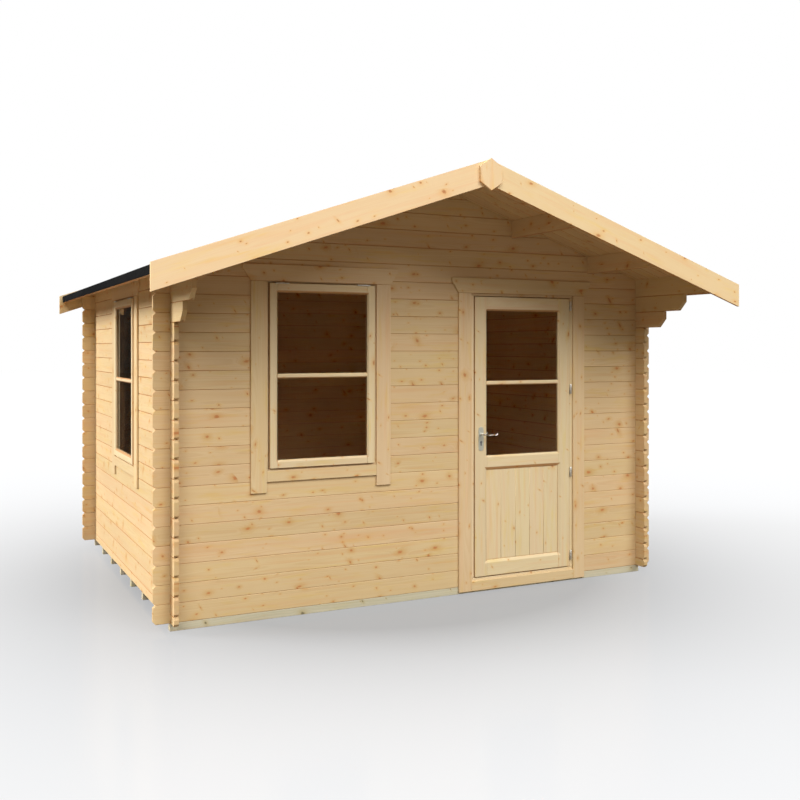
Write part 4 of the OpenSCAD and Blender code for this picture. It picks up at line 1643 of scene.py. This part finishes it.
@dataclass
class Window(Joinery):
    """A top-hung window: frame, sash, panes, trim boards and hinges."""

    prefix: str = "front_window"
    thin: int = 1
    sash_arris: float = 0.0022
    # painted shade on the narrow edges of the frame and the sash
    frame_tint: float = 0.8
    sash_tint: float = 0.6
    hinge_radius: float = 0.0045
    hinge_plate: float = 0.0022
    knuckles: tuple = ((0.0, 0.3), (0.31, 0.69), (0.7, 1.0))

    def hinges(self) -> None:
        """Makes the two hinges at the head of the sash: knuckles in three parts and plates."""
        node = self.prefix + "_hinges"
        bm = cad_mesh(node)
        places = [reach_of(group) for group in islands(bm)]
        bm.free()
        flat = 1 - self.thin
        along = (RIGHTWARDS, BACKWARDS)[flat]
        parts = []
        for low, high in places:
            start = Vector((0, 0, low.z + self.hinge_radius))
            start[self.thin] = low[self.thin] + self.hinge_radius
            start[flat] = low[flat]
            length = high[flat] - low[flat]
            for first, last in self.knuckles:
                parts.append(knuckle(start, along, self.hinge_radius,
                                     (length * first, length * last),
                                     (self.worn_end, self.worn_end), 20))
            foot = low.copy()
            foot.z = high.z - self.hinge_plate
            foot[self.thin] += self.hinge_radius
            parts.append(box_mesh(foot, high))
        finish_mesh(join(parts), self.prefix + "_hinge_set", ZINC, self.body, [node])

    def build(self) -> None:
        """Builds the window."""
        self.dress(self.prefix + "_frame", JOINERY, self.frame_arris,
                   edge_painted_shade=self.frame_tint)
        self.dress(self.prefix + "_sash", JOINERY, self.sash_arris, edge_painted_shade=self.sash_tint)
        self.dress(self.prefix + "_trim", BOARDS, self.trim_arris)
        self.panes(self.prefix + "_glass", self.prefix)
        self.hinges()


@dataclass
class Door(Joinery):
    """The half-glazed door with its frame, trim boards, panel, hinges, lock and lever.

    The cylinder and the neck are profiles: radius and height of each point. The screw's gives
    shares of its radius. The keyhole is half its width, how proud it stands, and where it
    starts and ends below the cylinder's axis. Each knot of the grip is its share of the
    lever's length, its way out of the usual line and its height over the axis.
    """

    fixed: str = "cabin"
    body: str = "door"
    turning: str = "lever"
    leaf_arris: float = 0.0018
    sill_arris: float = 0.002
    # painted shade on the narrow edges of the frame and the leaf
    frame_tint: float = 0.35
    leaf_painted_shade: float = 0.45
    panel_boards: int = 5
    panel_joint: float = 0.0026
    hinge_radius: float = 0.007
    pin_radius: float = 0.004
    hinge_reach: float = 0.04
    hinge_plate: float = 0.0018
    leaf_gap: float = 0.0008
    frame_gap: float = 0.0003
    pin_root: float = 0.002
    pin_share: float = 0.8
    round_end: tuple = ((0.45, 0.0), (0.8, 0.0009), (1.0, 0.003))
    sleeve_foot: tuple = ((0.86, 0.0), (1.0, 0.001))
    frame_head: tuple = ((0.86, 0.0), (1.0, 0.0012))
    parting: float = 0.0004
    plate_arris: float = 0.0008
    screw_inset: float = 0.012
    screw_radius: float = 0.0038
    screw_profile: tuple = ((1.0, 0.0), (1.0, 0.0003), (0.82, 0.0007), (0.42, 0.0007),
                            (0.36, 0.0002))
    cylinder: tuple = ((0.0088, -0.0003), (0.0088, 0.0009), (0.0082, 0.0014),
                       (0.0038, 0.0014), (0.0036, 0.0006))
    cylinder_height: float = 0.36
    keyhole: tuple = (0.005, 0.001, 0.024, 0.006)
    spindle: float = 0.0045
    neck: tuple = ((0.0078, -0.004), (0.0078, 0.004), (0.0068, 0.008))
    neck_radius: float = 0.0064
    neck_inset: float = 0.012
    lever_length: float = 0.110
    grip_radius: float = 0.0062
    grip_waist: float = 0.0022
    grip_oval: float = 0.86
    grip_steps: int = 6
    waist_end: float = 1.1
    tip_from: float = 0.95
    tip_share: float = 0.6
    grip: tuple = ((0.0, -0.012, 0.0), (0.05, -0.002, 0.0), (0.16, 0.0, -0.002),
                   (0.34, 0.0, -0.007), (0.56, 0.0, -0.003), (0.78, -0.001, -0.0065),
                   (0.90, -0.002, -0.004), (0.965, -0.004, 0.0045))

    def surround(self) -> None:
        """Dresses what stays with the cabin: frame, threshold and trim boards."""
        still = Carpentry(self.fixed)
        still.dress("door_frame", JOINERY, self.frame_arris, edge_painted_shade=self.frame_tint)
        still.dress("door_threshold", JOINERY, self.sill_arris)
        still.dress("door_trim", BOARDS, self.trim_arris)

    def leaf(self) -> None:
        """Dresses the leaf, lays the boards of its panel and glazes it."""
        for node in ("door_stiles", "door_rails", "door_glazing_bar"):
            self.dress(node, JOINERY, self.leaf_arris, edge_painted_shade=self.leaf_painted_shade)
        low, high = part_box("door_panel")
        boards = saw(box_mesh(low, high), RIGHTWARDS,
                     cuts_between(low.x, high.x, self.panel_boards))
        soften(boards, self.panel_joint, 1)
        add_grain(boards, "panel")
        finish_mesh(boards, "door_panel_boards", JOINERY, self.body, ["door_panel"])
        self.panes("door_glass", "door")

    def hinge_places(self) -> list[tuple[Vector, float]]:
        """Reads from the sleeves where each hinge parts.

        Returns:
            For each hinge the point on its axis where it parts, and the height of a half.
        """
        bm = cad_mesh("door_hinge_sleeves")
        axis = next(j for j in frame["joints"] if j["name"] == "door_swing")["pos_m"]
        places = []
        for group in islands(bm):
            low, high = reach_of(group)
            places.append((Vector((axis[0], axis[1], low.z)), high.z - low.z))
        bm.free()
        return places

    def hinges(self) -> None:
        """Makes the halves of the hinges: sleeves on the leaf, knuckles with pins on the frame."""
        radius, reach, plate = self.hinge_radius, self.hinge_reach, self.hinge_plate
        leaf_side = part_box("door_hinge_sleeves")[0].x + self.leaf_gap
        upper, lower = [], []
        for at, height in self.hinge_places():
            frame_side = at.x - self.frame_gap
            upper.append(knuckle(at, UP, radius, (0.0, height),
                                 (self.sleeve_foot, self.round_end)))
            upper.append(box_mesh((leaf_side, at.y, at.z),
                                  (leaf_side + plate, at.y + reach, at.z + height)))
            lower.append(knuckle(at, UP, radius, (-height, -self.parting),
                                 (self.round_end, self.frame_head)))
            lower.append(lathe([(self.pin_radius, -self.pin_root),
                                (self.pin_radius, height * self.pin_share)], at, UP, 16))
            lower.append(box_mesh((frame_side - plate, at.y, at.z - height),
                                  (frame_side, at.y + reach, at.z - self.parting)))
        finish_mesh(join(upper), "door_hinge_tops", ZINC, self.body, ["door_hinge_sleeves"])
        finish_mesh(join(lower), "door_hinge_feet", ZINC, self.fixed, ["door_hinge_pins"])

    def lock_plates(self) -> None:
        """Softens the lock plates and adds their screws, cylinders and keyholes."""
        bm = cad_mesh("door_lock_plates")
        soften(bm, self.plate_arris)
        low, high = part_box("door_lock_plates")
        x = (low.x + high.x) / 2
        z = low.z + (high.z - low.z) * self.cylinder_height
        half, proud, foot, head = self.keyhole
        screws, cylinders = [], []
        for y, out in ((low.y, -BACKWARDS), (high.y, BACKWARDS)):
            for screw_z in (high.z - self.screw_inset, low.z + self.screw_inset):
                screws.append(turned_head(Vector((x, y, screw_z)), out, self.screw_radius,
                                          self.screw_profile, 20))
            cylinders.append(lathe(self.cylinder, Vector((x, y, z)), out))
            front = y + out.y * proud
            cylinders.append(box_mesh((x - half, min(y, front), z - foot),
                                      (x + half, max(y, front), z - head)))
        finish_mesh(join([bm, *screws]), "door_lock_plate_pair", PLATE, self.body,
                    ["door_lock_plates"])
        finish_mesh(join(cylinders), "door_lock_cylinders", NAILS, self.body)

    def grip_mesh(self, root: Vector, out: Vector, line: float) -> bmesh.types.BMesh:
        """Bends a grip off its neck and runs it along the leaf in a slow S.

        Args:
            root: where the neck leaves the plate.
            out: unit vector out of the leaf.
            line: how far from the plate the grip runs.

        Returns:
            The grip as a bmesh.
        """
        knots = [root + out * (line + back) + Vector((share * self.lever_length, 0, rise))
                 for share, back, rise in self.grip]
        path = curve_points(knots, self.grip_steps)
        sizes = []
        for i in range(len(path)):
            t = i / (len(path) - 1)
            waist = math.sin(math.pi * min(1, t * self.waist_end))
            thick = self.grip_radius - self.grip_waist * waist
            thick *= 1 if t < self.tip_from else self.tip_share
            sizes.append((thick * self.grip_oval, thick))
        return sweep(path, sizes, BACKWARDS)

    def lever(self) -> None:
        """Shapes the lever: on both faces a turned neck with a grip, and a spindle between."""
        joint = next(j for j in frame["joints"] if j["name"] == "lever_turn")
        middle = Vector(joint["pos_m"])
        lever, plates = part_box("door_lever"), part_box("door_lock_plates")
        parts = []
        for face, tip, out in ((plates[0].y, lever[0].y, -BACKWARDS),
                               (plates[1].y, lever[1].y, BACKWARDS)):
            reach = abs(tip - face)
            root = Vector((middle.x, face, middle.z))
            parts.append(lathe([*self.neck, (self.neck_radius, reach - self.neck_inset)],
                               root, out, 24))
            parts.append(self.grip_mesh(root, out, reach - self.grip_radius))
        parts.append(lathe([(self.spindle, 0.0), (self.spindle, plates[1].y - plates[0].y)],
                           Vector((middle.x, plates[0].y, middle.z)), BACKWARDS, 16))
        finish_mesh(join(parts), "door_lever_pair", NICKEL, self.turning, ["door_lever"],
                    smooth=60.0)

    def build(self) -> None:
        """Builds the door."""
        self.surround()
        self.leaf()
        self.hinges()
        self.lock_plates()
        self.lever()


@dataclass(frozen=True)
class Lamp:
    """A large soft light, far off. Angles are in degrees.

    The bearing is taken from the front of the cabin and grows towards its right side.
    """

    name: str
    bearing: float
    height: float
    strength: float
    spread: float
    mirrored: bool = True

    def hang(self) -> None:
        """Adds the light to the scene."""
        data = bpy.data.lights.new(self.name, "SUN")
        data.energy = self.strength
        data.angle = math.radians(self.spread)
        turn, rise = math.radians(self.bearing), math.radians(self.height)
        way = Vector((-math.sin(turn) * math.cos(rise), math.cos(turn) * math.cos(rise),
                      -math.sin(rise)))
        lamp = link_object(self.name, data)
        lamp.visible_glossy = self.mirrored
        lamp.rotation_mode = "QUATERNION"
        lamp.rotation_quaternion = way.to_track_quat("-Z", "Y")


@dataclass
class Studio:
    """The camera, the lights and the pale floor. None of it is part of the cabin.

    Lengths are in metres, the camera's turn in degrees and its lens in millimetres.
    """

    eye: tuple = (-3.041, -6.774, 1.667)
    turn: float = 26.249
    lens: float = 43.44
    sensor: float = 36.0
    rise: float = -0.0653
    sight: float = 200.0
    sky: float = 0.078
    sky_mirrored: float = 0.5
    sky_tint: tuple = (1.0, 0.87, 0.70)
    lamps: tuple = (Lamp("front left", -38, 41, 1.50, 34), Lamp("front right", 24, 41, 2.14, 42),
                    Lamp("left", -120, 27, 4.45, 24),
                    Lamp("rear", 140, 32, 1.0, 50, mirrored=False))
    floor_bounce: tuple = (0.20, 0.178, 0.150)
    floor_mirrored: tuple = (0.026, 0.019, 0.013)
    floor_matt: tuple = (0.056, 0.060, 0.067)
    floor_near: float = 0.41
    floor_far: float = 0.91
    floor_gloss: float = 0.05
    floor_roughness: float = 0.15
    floor_radius: float = 60.0
    floor_sides: int = 96
    floor_drop: float = 0.0005
    fade_from: float = 1.7
    fade_reach: float = 1.3
    mirrored_from: float = 4.0
    mirrored_to: float = 8.0

    def camera(self) -> None:
        """Stands the camera level, with its view moved up or down by a shift only."""
        data = bpy.data.cameras.new("camera")
        data.lens = self.lens
        data.sensor_width = self.sensor
        data.shift_y = self.rise
        data.clip_end = self.sight
        eye = link_object("camera", data)
        eye.location = self.eye
        eye.rotation_euler = (math.radians(90), 0, -math.radians(self.turn))
        bpy.context.scene.camera = eye

    def in_sight(self, graph: Graph) -> bpy.types.NodeSocket:
        """Tells rays from the eye apart, also those that came straight through a pane.

        Args:
            graph: the world's or the floor's graph.

        Returns:
            A socket that is 1 for such a ray and 0 for light on its way.
        """
        rays = graph.add("LightPath").outputs
        bounces = graph.plus(rays["Diffuse Depth"], rays["Glossy Depth"])
        through = graph.times(rays["Is Transmission Ray"],
                              graph.math("LESS_THAN", bounces, 0.5))
        return graph.math("MAXIMUM", rays["Is Camera Ray"], through)

    def world(self) -> None:
        """Lights the cabin from all round, and shows plain white behind it."""
        world = bpy.data.worlds.new("studio")
        world.use_nodes = True
        graph = Graph(world.node_tree)
        world.node_tree.nodes.clear()
        mirrored = graph.add("LightPath").outputs["Is Glossy Ray"]
        power = graph.scaled(mirrored, (self.sky_mirrored - 1) * self.sky, self.sky)
        lit = graph.add("Background", inputs={"Color": self.sky_tint, "Strength": power})
        shown = graph.add("Background", inputs={"Color": WHITE, "Strength": 1.0})
        both = graph.add("MixShader", inputs={0: self.in_sight(graph), 1: lit.outputs[0],
                                              2: shown.outputs[0]})
        graph.add("OutputWorld", inputs={"Surface": both.outputs[0]})
        bpy.context.scene.world = world

    def floor(self) -> None:
        """Lays a pale, faintly glossy floor that fades into the white round it."""
        bm = bmesh.new()
        bmesh.ops.create_circle(bm, cap_ends=True, radius=self.floor_radius,
                                segments=self.floor_sides)
        mesh = bpy.data.meshes.new("floor")
        bm.to_mesh(mesh)
        bm.free()
        material = bpy.data.materials.new("floor")
        material.use_nodes = True
        graph = Graph(material.node_tree)
        material.node_tree.nodes.clear()
        # painted shade: the floor's glow darkens towards the cabin, as round a thing that stands
        # under one large soft light
        away = graph.vector("LENGTH", graph.place())
        beyond = graph.math("MAXIMUM", graph.math("SUBTRACT", away, self.fade_from), 0.0)
        fade = graph.rest(graph.math("EXPONENT", graph.math("DIVIDE", beyond,
                                                            -self.fade_reach)))
        glow = graph.scaled(fade, self.floor_far - self.floor_near, self.floor_near)
        white = graph.add("Emission", inputs={"Color": WHITE, "Strength": glow})
        matt = graph.add("BsdfDiffuse", inputs={"Color": self.floor_matt})
        sheen = graph.add("BsdfGlossy", inputs={"Color": (self.floor_gloss,) * 3,
                                                "Roughness": self.floor_roughness})
        lit = graph.add("AddShader", inputs={0: matt.outputs[0], 1: sheen.outputs[0]})
        pale = graph.add("AddShader", inputs={0: lit.outputs[0], 1: white.outputs[0]})
        mirrored = graph.add("LightPath").outputs["Is Glossy Ray"]
        far = graph.times(mirrored, graph.step(away, self.mirrored_from, self.mirrored_to))
        dull = graph.add("BsdfDiffuse", inputs={"Color": graph.mix(
            far, self.floor_bounce, self.floor_mirrored)})
        both = graph.add("MixShader", inputs={0: self.in_sight(graph), 1: dull.outputs[0],
                                              2: pale.outputs[0]})
        graph.add("OutputMaterial", inputs={"Surface": both.outputs[0]})
        mesh.materials.append(material)
        floor = link_object("floor", mesh)
        floor.location.z = -self.floor_drop

    def build(self) -> None:
        """Sets up the studio."""
        self.camera()
        self.world()
        for lamp in self.lamps:
            lamp.hang()
        self.floor()
        bpy.context.scene.view_settings.view_transform = "Standard"


def main() -> None:
    """Builds the studio and every sub-assembly of the cabin in order."""
    logging.basicConfig(level=logging.INFO, format="%(name)s %(message)s")
    Studio().build()
    for assembly in (Base(), LogWalls(), Roof(), FeltRoof(), Window(),
                     Window(prefix="side_window", thin=0), Door()):
        assembly.build()
        log.info("built %s", type(assembly).__name__)


if __name__ == "__main__":
    main()
